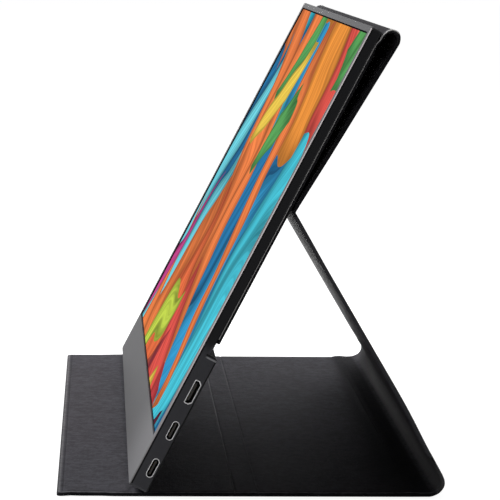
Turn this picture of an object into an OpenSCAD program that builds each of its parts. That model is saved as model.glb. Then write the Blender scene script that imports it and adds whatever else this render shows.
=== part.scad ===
// Portable monitor on its folding cover.
// The monitor leans back on a strip of stiff panels joined by soft folds.
// Frame: X across, Y back, Z up. The origin is under the middle, on the table.

/* [Display] */
// Width of the picture area
active_w = 344.2; // [250:0.1:400]
// Height of the picture area
active_h = 193.6; // [150:0.1:230]
// Bezel beside the picture
bezel_side = 6.4; // [5.5:0.1:12]
// Bezel above the picture
bezel_top = 3.6; // [3.6:0.1:10]
// Bezel below the picture
chin_h = 23.6; // [23.5:0.1:34]
// Black border that shows round the picture
mask_w = 0.7; // [0.3:0.1:2]
// How far the display lies behind the bezel's face
lip_t = 0.7; // [0.5:0.05:1]
// Polariser film thickness
film_t = 0.15; // [0.1:0.05:0.3]
// Liquid crystal cell thickness
cell_t = 0.75; // [0.5:0.05:1]
// Optical sheet stack thickness
sheets_t = 0.35; // [0.2:0.05:0.5]
// Light guide thickness
guide_t = 0.7; // [0.5:0.05:1]
// Reflector thickness
reflector_t = 0.15; // [0.1:0.05:0.3]
// Panel frame sheet metal thickness
frame_t = 0.3; // [0.2:0.05:0.4]
// Height of the cell's lower ledge below the picture
ledge_h = 7; // [5:0.5:9]

/* [Case] */
// Front bezel depth at the rim
bezel_t = 1.2; // [1.1:0.1:1.6]
// Depth of the thin upper part
thin_depth = 4.9; // [4.8:0.1:7]
// Depth of the thick lower part
thick_depth = 8.7; // [8.5:0.1:12]
// Height of the thick lower part
thick_h = 65.5; // [64:0.5:90]
// Corner radius in front view
case_r = 2; // [1.5:0.5:8]
// Wall across the back
wall = 0.9; // [0.7:0.1:1.2]
// Wall round the sides
side_wall = 1.2; // [0.8:0.1:1.6]
// Bevel along the bezel's front rim
front_bevel = 0.45; // [0.2:0.05:0.8]
// Bevel along the back rim
case_bevel = 0.5; // [0.3:0.1:0.9]
// Bevel along the step between thick and thin
step_bevel = 1; // [0.5:0.1:2]
// Rib width inside the back
rib_w = 0.8; // [0.6:0.1:1.5]
// Number of upright ribs
rib_count = 7; // [3:1:11]

/* [Ports] */
// Height of the lower USB-C port's centre
usb_lower_up = 11.1; // [11:0.1:16]
// Distance between the two USB-C ports
usb_pitch = 18.2; // [12:0.1:20]
// Distance from the upper USB-C port to the mini HDMI port
hdmi_pitch = 18.7; // [13:0.1:20]
// USB-C shell width
usb_w = 8.94; // [8.9:0.01:9.1]
// USB-C shell height
usb_h = 3.2; // [3.1:0.01:3.3]
// Mini HDMI shell width
hdmi_w = 11.2; // [11:0.1:11.6]
// Mini HDMI shell height
hdmi_h = 3.3; // [3.2:0.01:3.4]
// Length of a port shell
port_len = 7.4; // [6:0.1:10]
// Shell wall
shell_t = 0.3; // [0.2:0.05:0.4]
// Gap between a shell and the hole in the case
port_gap = 0.15; // [0.1:0.05:0.3]
// How far a shell's mouth lies inside the case's side
port_recess = 0.1; // [0:0.05:0.5]
// Headphone jack bore radius
jack_r = 1.8; // [1.77:0.01:1.9]
// Headphone jack depth
jack_len = 12; // [11:0.5:15]

/* [Controls] */
// Power button length
button_len = 9; // [6:0.5:12]
// Width of the power button and the rocker
button_w = 2.4; // [1.8:0.1:2.6]
// Menu rocker length
rocker_len = 16; // [12:0.5:18]
// How far the power button and the rocker stand out of the case
button_proud = 0.5; // [0.3:0.1:1]
// Power button travel
button_travel = 0.3; // [0.1:0.05:0.4]
// Gap round the power button and beside the rocker
button_gap = 0.15; // [0.1:0.05:0.3]
// Height of the power button's centre
power_up = 52; // [50:0.5:56]
// Height of the rocker's centre
rocker_up = 31; // [28:0.5:34]

/* [Boards] */
// Circuit board thickness
pcb_t = 0.8; // [0.6:0.1:1]
// Mainboard width
mainboard_w = 64; // [50:1:70]
// Speaker length
speaker_w = 34; // [24:1:40]
// Speaker height
speaker_h = 14; // [10:0.5:16]
// Distance from a speaker's middle to the case's side
speaker_inset = 106.5; // [100:0.5:112]
// Screw distance from the case's side
screw_inset = 16; // [15:0.5:20]
// Distance between the two screws at each end
screw_pitch = 59; // [56:0.5:64]
// Screw distance above the case's bottom edge
screw_up = 7.5; // [5:0.5:9]
// Screw shaft radius
screw_r = 0.95; // [0.7:0.05:1.1]
// Screw head radius
screw_head_r = 1.7; // [1.4:0.1:2]

/* [Cover] */
// Width of the cover
cover_w = 353; // [250:1:400]
// Leatherette thickness
skin_t = 0.4; // [0.3:0.05:0.8]
// Stiff board thickness
board_t = 0.8; // [0.6:0.1:1.5]
// Lining thickness
lining_t = 0.4; // [0.3:0.05:0.8]
// Thickness of the folds that hold no board
fold_t = 1.1; // [0.8:0.05:1.2]
// Leatherette turned round the boards' edges
wrap_w = 0.9; // [0.5:0.1:3]
// Corner radius of the cover
cover_r = 2; // [1.5:0.5:12]
// Front flap length
flap_len = 76.5; // [60:0.1:110]
// Distance between the two creases
crease_pitch = 10; // [6:0.5:16]
// Width of one crease
crease_w = 1.6; // [1:0.1:3]
// Thickness left in a crease
crease_t = 0.9; // [0.5:0.05:1.2]
// Floor panel length, from the rear crease to the rear spine's centre
floor_len = 74.2; // [60:0.1:90]
// Outer radius of the rear spine
spine_r = 7.5; // [6:0.1:10]
// Soft stretch before and after the rear spine
spine_lead = 8.2; // [3:0.1:12]
// Strut length, from the rear spine to the mid fold
strut_len = 130; // [120:0.5:140]
// Soft stretch on each side of the mid fold
mid_lead = 1.6; // [1.2:0.1:4]
// Outer radius of the top spine
loop_r = 4.45; // [4:0.05:7]
// Soft stretch before and after the top spine
loop_lead = 6.3; // [3:0.1:10]
// How far the top spine's centre lies below the monitor's top edge
loop_drop = 1.8; // [0:0.1:4]
// Gap between the back panel and the case's step
step_gap = 5.5; // [4:0.5:40]
// Magnet length
magnet_len = 40; // [20:1:50]
// Magnet width
magnet_w = 8; // [5:0.5:12]

/* [Stance] */
// Angle of the strut above the table
strut_angle = 59.14; // [57:0.01:60]
// Angle of the screen above the table
lean = 62.95; // [62.9:0.01:64]
// How far the mid fold stands behind the middle of its two feet
fold_shift = 1.1; // [0.9:0.1:1.5]
// Gap between the monitor's foot and the flap
foot_gap = 0.3; // [0.25:0.05:0.6]
// Gap between the back panel and the monitor
magnet_gap = 0.1; // [0.05:0.05:0.3]

/* [Hidden] */
$fn = 48;
eps = 0.01;
seam = 0.01;
arc_steps = 24;

// Colours
leather_grey = "#55575a";
lining_black = "#1b1b1d";
board_grey = "#77787a";
case_grey = "#3a3c40";
bezel_grey = "#6d6f72";
metal = "#b9bcc0";
pcb_green = "#1e5a3c";

// Case
case_w = active_w + 2 * bezel_side;
case_h = chin_h + active_h + bezel_top;
side_x = case_w / 2;
inner_x = side_x - side_wall;
thin_floor = thin_depth - wall;
thick_floor = thick_depth - wall;

// Display stack, as depths behind the bezel's face
film_y = lip_t;
cell_y = film_y + film_t;
sheets_y = cell_y + cell_t;
guide_y = sheets_y + sheets_t;
reflector_y = guide_y + guide_t;
frame_y = reflector_y + reflector_t;
stack_y = frame_y + frame_t;
panel_margin = 2;
panel_w = active_w + 2 * panel_margin;
panel_low = chin_h - ledge_h;
panel_high = chin_h + active_h + panel_margin;
sheets_low = chin_h - 2.4;
led_low = sheets_low - 2.4;

// Boards and ports
board_gap = 0.4;
board_y = stack_y + board_gap;
board_back = board_y + pcb_t;
board_margin = 0.3;
board_low = 4;
board_high = thick_h - 4.5;
mainboard_x = inner_x - board_margin - mainboard_w;
key_board_w = 22;
chip_w = 14;
cable_w = 6;
cable_t = 0.15;
usb_upper_up = usb_lower_up + usb_pitch;
hdmi_up = usb_upper_up + hdmi_pitch;
usb_y = board_back + usb_h / 2;
hdmi_y = board_back + hdmi_h / 2;
port_x = side_x - port_recess;
tongue_t = 0.7;
jack_wall = 0.3;
jack_y = thick_floor - 0.05 - jack_r - jack_wall;
jack_up = usb_lower_up;

// Screws
post_r = 2.2;
post_gap = 0.3;
screw_xs = [for (s = [-1, 1]) for (d = [screw_inset, screw_inset + screw_pitch]) s * (side_x - d)];
head_h = 0.9;
head_sink = 0.3;
boss_r = 2.8;
boss_y = thick_depth - head_h - head_sink - 0.9;
screw_hole_gap = 0.1;
board_screw_r = 0.7;
board_head_r = 1.5;
board_boss_r = 2;
board_screws_at = [
    [mainboard_x + 4, board_high - 4], [mainboard_x + 4, board_low + 4], [inner_x - 12, board_high - 3]
];

// Speakers
speaker_x = side_x - speaker_inset;
speaker_up = 14;
speaker_gap = 0.4;
slot_w = 1;
slot_len = 7;
slot_pitch = 2.4;
slot_count = 9;

// Controls, on the side away from the ports
button_y = board_back + usb_h / 2;
flange_t = 0.5;
flange_w = 0.6;
flange_h = 0.3;
flange_gap = 0.1;
switch_gap = 0.15;
switch_w = 4;
pin_r = 0.75;
pin_gap = 0.05;
hub_r = 1.5;
rocker_depth = 1.4;
pin_x = inner_x - rocker_depth - 0.5;
rocker_swing = 3;
rocker_end_gap = 0.4;
rocker_switch_reach = rocker_len / 2 - 2;

// Cover
panel_t = skin_t + board_t + lining_t;
depth = flap_len + crease_pitch + floor_len + spine_r;
front_y = -depth / 2;
crease_front_y = front_y + flap_len;
crease_rear_y = crease_front_y + crease_pitch;
rear_pivot = [crease_rear_y + floor_len, spine_r];
strut_dir = 180 - strut_angle;
strut_start = rear_pivot + spine_r * heading(strut_dir - 90);
mid_pivot = strut_start + strut_len * heading(strut_dir);

// Where the monitor stands
up_v = heading(lean);
deep_v = heading(lean - 90);
foot = [2 * (mid_pivot[0] - fold_shift) - rear_pivot[0], panel_t + foot_gap];
monitor_at = foot - (thick_depth - case_bevel) * deep_v;
back_face = thin_depth + magnet_gap;
loop_up = case_h - loop_drop;
top_pivot = monitor_at + loop_up * up_v + (back_face + loop_r) * deep_v;
mid_to_top = norm(top_pivot - mid_pivot);
upper_dir = atan2(top_pivot[1] - mid_pivot[1], top_pivot[0] - mid_pivot[0]) - asin(loop_r / mid_to_top);
upper_len = sqrt(mid_to_top * mid_to_top - loop_r * loop_r);
back_dir = lean + 180;
back_start = monitor_at + (loop_up - loop_lead) * up_v + back_face * deep_v;
back_len = loop_up - loop_lead - thick_h - step_gap;

// Magnets, as distances along their panels
back_magnet_along = 20;
flap_magnet_along = 14;
magnet_xs = [-110, 0, 110];
plate_margin = 4;
plate_t = 0.4;

// ---------- Geometry helpers ----------

// A unit vector in the side view, as [y, z]
function heading(a) = [cos(a), sin(a)];

// Points round an arc in the side view
function arc(c, r, a0, a1) = [for (i = [0:arc_steps]) c + r * heading(a0 + (a1 - a0) * i / arc_steps)];

// A box outline with round corners, centred on x = 0
function round_box(w, z0, z1, r, steps = 6) = [
    for (corner = [[1, 1, 0], [-1, 1, 90], [-1, -1, 180], [1, -1, 270]])
        for (i = [0:steps])
            [corner[0] * (w / 2 - r), (z0 + z1) / 2 + corner[1] * ((z1 - z0) / 2 - r)]
                + r * heading(corner[2] + 90 * i / steps)
];

// The rim of a slab, seen in section: half width against depth, with bevels front and back
function rim(half, y0, y1, front, back) = concat(
    front > 0 ? [[half - front, y0], [half, y0 + front]] : [[half, y0]],
    back > 0 ? [[half, y1 - back], [half - back, y1]] : [[half, y1]]
);

// Extrudes an outline drawn in x and z from one depth to another
module deep(y0, y1) { translate([0, y1, 0]) rotate([90, 0, 0]) linear_extrude(y1 - y0) children(); }

// Extrudes an outline drawn in y and z across the width
module across(w) { rotate([90, 0, 90]) linear_extrude(w, center = true) children(); }

// Extrudes an outline drawn in y and z from one x to another
module sideways(x0, x1) { translate([x0, 0, 0]) rotate([90, 0, 90]) linear_extrude(x1 - x0) children(); }

// A rod along the depth
module pillar(x, z, y0, y1, r) { translate([x, y1, z]) rotate([90, 0, 0]) cylinder(h = y1 - y0, r = r); }

// A rod across the width
module bar(y, z, x0, x1, r) { translate([x0, y, z]) rotate([0, 90, 0]) cylinder(h = x1 - x0, r = r); }

// A block given by its lowest and highest corners
module block(low, high) { translate(low) cube(high - low); }

// A slab with round corners and bevelled rims, centred on x = 0
module slab(w, z0, z1, y0, y1, r, front, back) {
    half = rim(w / 2, y0, y1, front, back);
    tall = rim((z1 - z0) / 2, y0, y1, front, back);
    turn = concat([[0, y0]], rim(r, y0, y1, front, back), [[0, y1]]);
    mid = (z0 + z1) / 2;
    translate([0, 0, z0 + r]) linear_extrude(z1 - z0 - 2 * r)
        polygon(concat(half, [for (i = [len(half) - 1:-1:0]) [-half[i][0], half[i][1]]]));
    across(w - 2 * r)
        polygon(concat(
            [for (p = tall) [p[1], mid + p[0]]],
            [for (i = [len(tall) - 1:-1:0]) [tall[i][1], mid - tall[i][0]]]
        ));
    for (x = [-1, 1]) for (z = [z0 + r, z1 - r])
        translate([x * (w / 2 - r), 0, z]) rotate([-90, 0, 0]) rotate_extrude() polygon(turn);
}

// A pill outline in y and z, round at both ends
module pill(y, z, w, h) {
    translate([y, z]) {
        square([h, w - h], center = true);
        for (s = [-1, 1]) translate([0, s * (w - h) / 2]) circle(d = h);
    }
}

// Puts the children in the monitor's own frame: x across, y behind the screen, z up it
module on_monitor() { translate([0, monitor_at[0], monitor_at[1]]) rotate([lean - 90, 0, 0]) children(); }

// Puts the children on the strip: y along it, z from its lining to its leatherette
module on_strip(start, dir) { translate([0, start[0], start[1]]) rotate([dir, 0, 0]) children(); }

// ---------- Cover panels ----------

// A panel's outline, with its corners round at the chosen ends
module panel_outline(length, inset, r_low, r_high) {
    w = cover_w - 2 * inset;
    ends = [[inset, max(r_low - inset, 0), 1], [length - inset, max(r_high - inset, 0), -1]];
    difference() {
        translate([-w / 2, inset]) square([w, length - 2 * inset]);
        for (e = ends) if (e[1] > 0) for (s = [-1, 1])
            translate([s * (w / 2 - e[1]), e[0] + e[2] * e[1]]) difference() {
                translate([s > 0 ? 0 : -e[1] - 1, e[2] > 0 ? -e[1] - 1 : 0]) square(e[1] + 1);
                circle(r = e[1]);
            }
    }
}

module panel_skin(length, r_low = 0, r_high = 0) {
    color(leather_grey) difference() {
        linear_extrude(panel_t) panel_outline(length, 0, r_low, r_high);
        translate([0, 0, -1]) linear_extrude(1 + lining_t + board_t)
            panel_outline(length, wrap_w, r_low, r_high);
    }
}

module panel_board(length, r_low = 0, r_high = 0) {
    color(board_grey) translate([0, 0, lining_t]) linear_extrude(board_t)
        panel_outline(length, wrap_w, r_low, r_high);
}

module panel_lining(length, r_low = 0, r_high = 0) {
    color(lining_black) linear_extrude(lining_t) panel_outline(length, wrap_w, r_low, r_high);
}

// Bars that sit in slots in a board
module magnets(along, grow = 0) {
    for (x = magnet_xs)
        translate([x - magnet_len / 2, along - magnet_w / 2, lining_t - grow])
            cube([magnet_len, magnet_w, board_t + 2 * grow]);
}

flap_size = flap_len - crease_w / 2;
floor_size = floor_len - crease_w / 2 - spine_lead;
strut_size = strut_len - spine_lead - mid_lead;
upper_size = upper_len - mid_lead - loop_lead;
flap_at = [front_y, 0];
floor_at = [crease_rear_y + crease_w / 2, 0];
strut_at = strut_start + spine_lead * heading(strut_dir);
upper_at = mid_pivot + mid_lead * heading(upper_dir);

module flap_skin() { on_strip(flap_at, 0) panel_skin(flap_size, cover_r); }
module flap_board() {
    on_strip(flap_at, 0) difference() {
        panel_board(flap_size, cover_r);
        magnets(flap_magnet_along, eps);
    }
}
module flap_lining() { on_strip(flap_at, 0) panel_lining(flap_size, cover_r); }
module flap_magnets() { color(metal) on_strip(flap_at, 0) magnets(flap_magnet_along); }

module floor_skin() { on_strip(floor_at, 0) panel_skin(floor_size); }
module floor_board() { on_strip(floor_at, 0) panel_board(floor_size); }
module floor_lining() { on_strip(floor_at, 0) panel_lining(floor_size); }

module strut_skin() { on_strip(strut_at, strut_dir) panel_skin(strut_size); }
module strut_board() { on_strip(strut_at, strut_dir) panel_board(strut_size); }
module strut_lining() { on_strip(strut_at, strut_dir) panel_lining(strut_size); }

module upper_skin() { on_strip(upper_at, upper_dir) panel_skin(upper_size); }
module upper_board() { on_strip(upper_at, upper_dir) panel_board(upper_size); }
module upper_lining() { on_strip(upper_at, upper_dir) panel_lining(upper_size); }

module back_skin() { on_strip(back_start, back_dir) panel_skin(back_len, 0, cover_r); }
module back_board() {
    on_strip(back_start, back_dir) difference() {
        panel_board(back_len, 0, cover_r);
        magnets(back_magnet_along, eps);
    }
}
module back_lining() { on_strip(back_start, back_dir) panel_lining(back_len, 0, cover_r); }
module back_magnets() { color(metal) on_strip(back_start, back_dir) magnets(back_magnet_along); }

// ---------- Soft folds ----------

// A wedge of a round bend, open in the middle
module bend(centre, outer, inner, a0, a1) {
    across(cover_w) difference() {
        intersection() {
            translate(centre) circle(r = outer);
            polygon(concat([centre], arc(centre, 2 * outer, a0, a1)));
        }
        if (inner > 0) translate(centre) circle(r = inner);
    }
}

// A flat lead that leaves a bend at the angle a and runs in the direction dir
module lead_strip(centre, outer, a, dir, length) {
    near = centre + outer * heading(a) - eps * heading(dir);
    far = near + (length + eps - seam) * heading(dir);
    across(cover_w) polygon([near, far, far - fold_t * heading(a), near - fold_t * heading(a)]);
}

module soft_fold(centre, outer, dir_in, dir_out, lead) {
    color(lining_black) {
        bend(centre, outer, outer - fold_t, dir_in - 90, dir_out - 90);
        lead_strip(centre, outer, dir_in - 90, dir_in + 180, lead);
        lead_strip(centre, outer, dir_out - 90, dir_out, lead);
    }
}

module rear_spine() { soft_fold(rear_pivot, spine_r, 0, strut_dir, spine_lead); }
module top_spine() { soft_fold(top_pivot, loop_r, upper_dir, back_dir, loop_lead); }

// The mid fold bends the other way, round its outer face
module mid_fold() {
    color(lining_black) {
        bend(mid_pivot, fold_t, 0, upper_dir + 90, strut_dir + 90);
        lead_strip(mid_pivot, 0, strut_dir - 90, strut_dir + 180, mid_lead);
        lead_strip(mid_pivot, 0, upper_dir - 90, upper_dir, mid_lead);
    }
}

module crease(y) {
    half = crease_w / 2 - seam;
    color(leather_grey) block([-cover_w / 2, y - half, 0], [cover_w / 2, y + half, crease_t]);
}
module crease_rear() { crease(crease_rear_y); }
module crease_front() { crease(crease_front_y); }
module crease_strip() {
    color(leather_grey) block(
        [-cover_w / 2, crease_front_y + crease_w / 2, 0], [cover_w / 2, crease_rear_y - crease_w / 2, panel_t]
    );
}

// ---------- Case ----------

// The body of the rear cover before it is hollowed
module cover_body() {
    slab(case_w, 0, case_h, bezel_t, thin_depth, case_r, 0, case_bevel);
    difference() {
        slab(case_w, 0, thick_h + 2 * case_r, bezel_t, thick_depth, case_r, 0, case_bevel);
        across(case_w + 2) polygon([
            [0, thick_h], [thick_depth - step_bevel, thick_h],
            [thick_depth + 1, thick_h - step_bevel - 1], [thick_depth + 1, thick_h + 2 * case_r + 1],
            [0, thick_h + 2 * case_r + 1]
        ]);
    }
}

module cover_hollow() {
    r = max(case_r - side_wall, 0.5);
    deep(bezel_t - 1, thin_floor) polygon(round_box(2 * inner_x, side_wall, case_h - side_wall, r));
    deep(bezel_t, thick_floor) polygon(round_box(2 * inner_x, side_wall, thick_h - side_wall, 0.5));
}

module speaker_slots(x) {
    for (i = [0:slot_count - 1])
        translate([x + (i - (slot_count - 1) / 2) * slot_pitch, thick_depth - wall - 1, speaker_up])
            deep(0, wall + 2) {
                square([slot_w, slot_len - slot_w], center = true);
                for (s = [-1, 1]) translate([0, s * (slot_len - slot_w) / 2]) circle(d = slot_w);
            }
}

module side_cuts() {
    sideways(inner_x - 1, side_x + 1) {
        for (z = [usb_lower_up, usb_upper_up]) pill(usb_y, z, usb_w + 2 * port_gap, usb_h + 2 * port_gap);
        hdmi_outline(port_gap);
    }
    bar(jack_y, jack_up, -side_x - 1, -inner_x + 1, jack_r + jack_wall + button_gap);
    sideways(-side_x - 1, -inner_x + 1) {
        pill(button_y, power_up, button_len + 2 * button_gap, button_w + 2 * button_gap);
        pill(button_y, rocker_up, rocker_len + 2 * rocker_end_gap, button_w + 2 * button_gap);
    }
}

// Ribs that carry the display's metal back
module back_ribs() {
    top = case_h - side_wall;
    low = thick_h;
    for (i = [0:rib_count - 1]) {
        x = (i - (rib_count - 1) / 2) * 2 * (inner_x - 12) / (rib_count - 1);
        if (min([for (m = magnet_xs) abs(m - x)]) > magnet_len / 2 + plate_margin + rib_w)
            block([x - rib_w / 2, stack_y, low], [x + rib_w / 2, thin_floor + eps, top - 10]);
        else
            block([x - rib_w / 2, stack_y, low], [x + rib_w / 2, thin_floor + eps, plate_low - rib_w]);
    }
    for (z = [low + 12, (low + plate_low) / 2])
        block([-inner_x + 8, stack_y, z], [inner_x - 8, thin_floor + eps, z + rib_w]);
}

plate_high = loop_up - loop_lead - back_magnet_along + magnet_w / 2 + plate_margin;
plate_low = plate_high - magnet_w - 2 * plate_margin;

module rear_cover() {
    color(case_grey) on_monitor() difference() {
        union() {
            difference() {
                cover_body();
                cover_hollow();
                speaker_slots(speaker_x);
                speaker_slots(-speaker_x);
                side_cuts();
            }
            back_ribs();
            for (x = screw_xs) pillar(x, screw_up, boss_y, thick_floor + eps, boss_r);
            for (p = board_screws_at) pillar(p[0], p[1], board_back, thick_floor + eps, board_boss_r);
            pillar(-pin_x, rocker_up, thick_floor - 0.5, thick_floor + eps, hub_r);
        }
        for (x = screw_xs) {
            pillar(x, screw_up, boss_y - 1, thick_depth + 1, screw_r + screw_hole_gap);
            pillar(
                x, screw_up, thick_depth - head_h - head_sink, thick_depth + 1,
                screw_head_r + screw_hole_gap
            );
        }
        for (p = board_screws_at) pillar(p[0], p[1], board_back - 1, thick_floor - 0.5, board_screw_r);
        pillar(-pin_x, rocker_up, thick_floor - 1, thick_floor, pin_r);
    }
}

module front_bezel() {
    color(bezel_grey) on_monitor() difference() {
        union() {
            difference() {
                slab(case_w, 0, case_h, 0, bezel_t, case_r, front_bevel, 0);
                deep(-1, bezel_t + 1)
                    polygon(round_box(
                        active_w + 2 * mask_w, chin_h - mask_w, chin_h + active_h + mask_w, 0.3
                    ));
                deep(lip_t, bezel_t + 1)
                    polygon(round_box(panel_w + 2 * frame_t, panel_low, panel_high + frame_t, 0.3));
            }
            for (x = screw_xs) pillar(x, screw_up, bezel_t - 0.2, boss_y - 0.1, post_r);
        }
        for (x = screw_xs) pillar(x, screw_up, bezel_t + 0.6, boss_y + 1, screw_r);
    }
}

// ---------- Display ----------

module layer(y0, thick, low) {
    deep(y0, y0 + thick) translate([-panel_w / 2, low]) square([panel_w, panel_high - low]);
}

module display_film() { color("#101418") on_monitor() layer(film_y, film_t, chin_h - panel_margin); }
module lcd_cell() { color("#26323c") on_monitor() layer(cell_y, cell_t, panel_low); }
module optical_sheets() { color("#e8ecee") on_monitor() layer(sheets_y, sheets_t, sheets_low); }
module light_guide() { color("#dfe8ee") on_monitor() layer(guide_y, guide_t, sheets_low); }
module reflector_sheet() { color("#f4f4f2") on_monitor() layer(reflector_y, reflector_t, led_low); }

module led_strip() {
    pitch = 12;
    led = [3.2, 0.5, 1.4];
    count = floor((panel_w - 10) / pitch);
    color("#f0e9c8") on_monitor() {
        block([-panel_w / 2, guide_y, led_low], [panel_w / 2, guide_y + guide_t, sheets_low - led[2]]);
        for (i = [0:count - 1])
            translate([(i - (count - 1) / 2) * pitch - led[0] / 2, guide_y, sheets_low - led[2] - eps])
                cube([led[0], led[1], led[2] + eps]);
    }
}

module panel_frame() {
    edge = panel_w / 2;
    color(metal) on_monitor() {
        block([-edge - frame_t, frame_y, led_low], [edge + frame_t, stack_y, panel_high + frame_t]);
        for (s = [-1, 1])
            block(
                [s > 0 ? edge : -edge - frame_t, sheets_y, led_low],
                [s > 0 ? edge + frame_t : -edge, frame_y + eps, panel_high + frame_t]
            );
        block([-edge - frame_t, sheets_y, panel_high], [edge + frame_t, frame_y + eps, panel_high + frame_t]);
    }
}

driver_low = sheets_low + 4;
driver_h = 12;
driver_high = driver_low + driver_h;
driver_x = 80;
driver_t = 0.6;
flex_t = 0.1;
flex_w = 22;
flex_count = 4;
flex_pitch = 40;
flex_up = panel_low - 0.8;

module driver_board() {
    color(pcb_green) on_monitor() deep(stack_y + flex_t, stack_y + flex_t + driver_t)
        translate([-driver_x, driver_low]) square([2 * driver_x, driver_high - driver_low]);
}

// Films that turn round the cell's lower ledge to the driver board
module driver_flexes() {
    mid = (sheets_y + stack_y + flex_t) / 2;
    r = stack_y + flex_t - mid;
    color("#8a5a22") on_monitor() for (i = [0:flex_count - 1])
        translate([(i - (flex_count - 1) / 2) * flex_pitch, 0, 0]) across(flex_w) {
            polygon(concat(
                [[mid - r, panel_low + 2]],
                arc([mid, flex_up], r, 180, 360),
                [[mid + r, driver_low + 3], [mid + r - flex_t, driver_low + 3]],
                arc([mid, flex_up], r - flex_t, 360, 180),
                [[mid - r + flex_t, panel_low + 2]]
            ));
        }
}

// ---------- Electronics ----------

module mainboard() {
    color(pcb_green) on_monitor() difference() {
        deep(board_y, board_back) translate([mainboard_x, board_low])
            square([mainboard_w, board_high - board_low]);
        for (x = screw_xs) pillar(x, screw_up, board_y - 1, board_back + 1, post_r + post_gap);
        for (p = board_screws_at) pillar(p[0], p[1], board_y - 1, board_back + 1, board_screw_r);
    }
}

module board_chips() {
    chip_h = 1.2;
    // Each chip's place as shares of the board, and its size as a share of the largest
    chips = [[0.28, 0.42, 1], [0.34, 0.77, 0.64], [0.6, 0.81, 0.43], [0.56, 0.2, 0.5]];
    color("#202224") on_monitor() for (c = chips) {
        at = [mainboard_x + c[0] * mainboard_w, board_low + c[1] * (board_high - board_low)];
        half = c[2] * chip_w / 2;
        block([at[0] - half, board_back, at[1] - half], [at[0] + half, board_back + chip_h, at[1] + half]);
    }
}

module shield_can() {
    can = [14, 1.8, 12];
    t = 0.2;
    at = [mainboard_x + mainboard_w / 2, board_back, board_low + 0.39 * (board_high - board_low)];
    color(metal) on_monitor() difference() {
        translate(at) cube(can);
        translate(at + [t, -1, t]) cube(can - [2 * t, t - 1, 2 * t]);
    }
}

// A shell open at the case's side, drawn round the children's outline
module usb_c_port(z) {
    color(metal) on_monitor() difference() {
        sideways(port_x - port_len, port_x) pill(usb_y, z, usb_w, usb_h);
        sideways(port_x - port_len + shell_t, port_x + 1)
            pill(usb_y, z, usb_w - 2 * shell_t, usb_h - 2 * shell_t);
    }
}
module usb_c_port_upper() { usb_c_port(usb_upper_up); }
module usb_c_port_lower() { usb_c_port(usb_lower_up); }

// The mini HDMI outline: flat against the board, its two corners away from it cut off
module hdmi_outline(grow) {
    half = hdmi_w / 2 + grow;
    y0 = hdmi_y - hdmi_h / 2 - grow;
    y1 = hdmi_y + hdmi_h / 2 + grow;
    blunt = 0.35;
    cut = 1.2;
    translate([0, hdmi_up]) polygon([
        [y0, blunt - half], [y0, half - blunt], [y0 + blunt, half], [y1 - cut, half],
        [y1, half - cut], [y1, cut - half], [y1 - cut, -half], [y0 + blunt, -half]
    ]);
}

module mini_hdmi_port() {
    color(metal) on_monitor() difference() {
        sideways(port_x - port_len, port_x) hdmi_outline(0);
        sideways(port_x - port_len + shell_t, port_x + 1) hdmi_outline(-shell_t);
    }
}

module port_tongues() {
    reach = 1;
    color("#16181a") on_monitor() {
        for (z = [usb_lower_up, usb_upper_up])
            sideways(port_x - port_len + shell_t, port_x - reach) pill(usb_y, z, 6.7, tongue_t);
        sideways(port_x - port_len + shell_t, port_x - reach)
            translate([hdmi_y - 0.4, hdmi_up]) square([tongue_t, 8], center = true);
    }
}

module headphone_jack() {
    r = jack_r + jack_wall;
    color("#16181a") on_monitor() difference() {
        union() {
            bar(jack_y, jack_up, -port_x, -inner_x + 1, r);
            block(
                [-inner_x + 0.05, jack_y - r, jack_up - 3],
                [-port_x + jack_len + 1, jack_y + r, jack_up + 3]
            );
        }
        bar(jack_y, jack_up, -side_x - 1, -port_x + jack_len, jack_r);
    }
}

module key_board() {
    x0 = -inner_x + board_margin;
    low = jack_up + 3 + board_margin;
    color(pcb_green) on_monitor() deep(board_y, board_back) translate([x0, low])
        square([key_board_w, board_high - low]);
}

// Switches that face the side wall: one behind the power button, two behind the rocker
module tact_switches() {
    stem = 1;
    tip = flange_gap + flange_t + stem + button_travel + switch_gap;
    rocker_tip = rocker_depth + rocker_switch_reach * sin(rocker_swing) + switch_gap;
    rocker_switches = [for (s = [-1, 1]) [rocker_up + s * rocker_switch_reach, rocker_tip]];
    color("#d8dadc") on_monitor() for (k = concat([[power_up, tip]], rocker_switches)) {
        x = -inner_x + k[1];
        bar(button_y, k[0], x, x + 0.6, 0.6);
        block(
            [x + 0.5, board_back, k[0] - switch_w / 2],
            [x + 0.5 + switch_w / 2, board_back + usb_h, k[0] + switch_w / 2]
        );
    }
}

module speaker(x) {
    back = thick_floor - speaker_gap;
    front = board_y + 0.1;
    color("#2b2d30") on_monitor() {
        deep(front, back - 0.5) translate([x, 0])
            polygon(round_box(speaker_w, speaker_up - speaker_h / 2, speaker_up + speaker_h / 2, 3));
        deep(back - 0.5 - eps, back) translate([x, 0])
            polygon(round_box(
                speaker_w - 6, speaker_up - speaker_h / 2 + 2, speaker_up + speaker_h / 2 - 2, 4
            ));
    }
}
module speaker_left() { speaker(-speaker_x); }
module speaker_right() { speaker(speaker_x); }

module display_cable() {
    color("#c9b27a") on_monitor()
        block([driver_x, board_y, driver_low + 2], [mainboard_x, board_y + cable_t, driver_high - 2]);
}

module key_cable() {
    low = driver_high + cable_w;
    color("#c9b27a") on_monitor()
        block(
            [-inner_x + board_margin + key_board_w, board_y, low],
            [mainboard_x, board_y + cable_t, low + cable_w]
        );
}

// A round wire through points given as [x, z], at one depth
module wire(points, y, r) {
    for (i = [0:len(points) - 2]) {
        run = points[i + 1] - points[i];
        translate([points[i][0], y, points[i][1]]) rotate([0, 90 - atan2(run[1], run[0]), 0])
            cylinder(h = norm(run) + (i < len(points) - 2 ? r : 0), r = r);
    }
}

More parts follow.
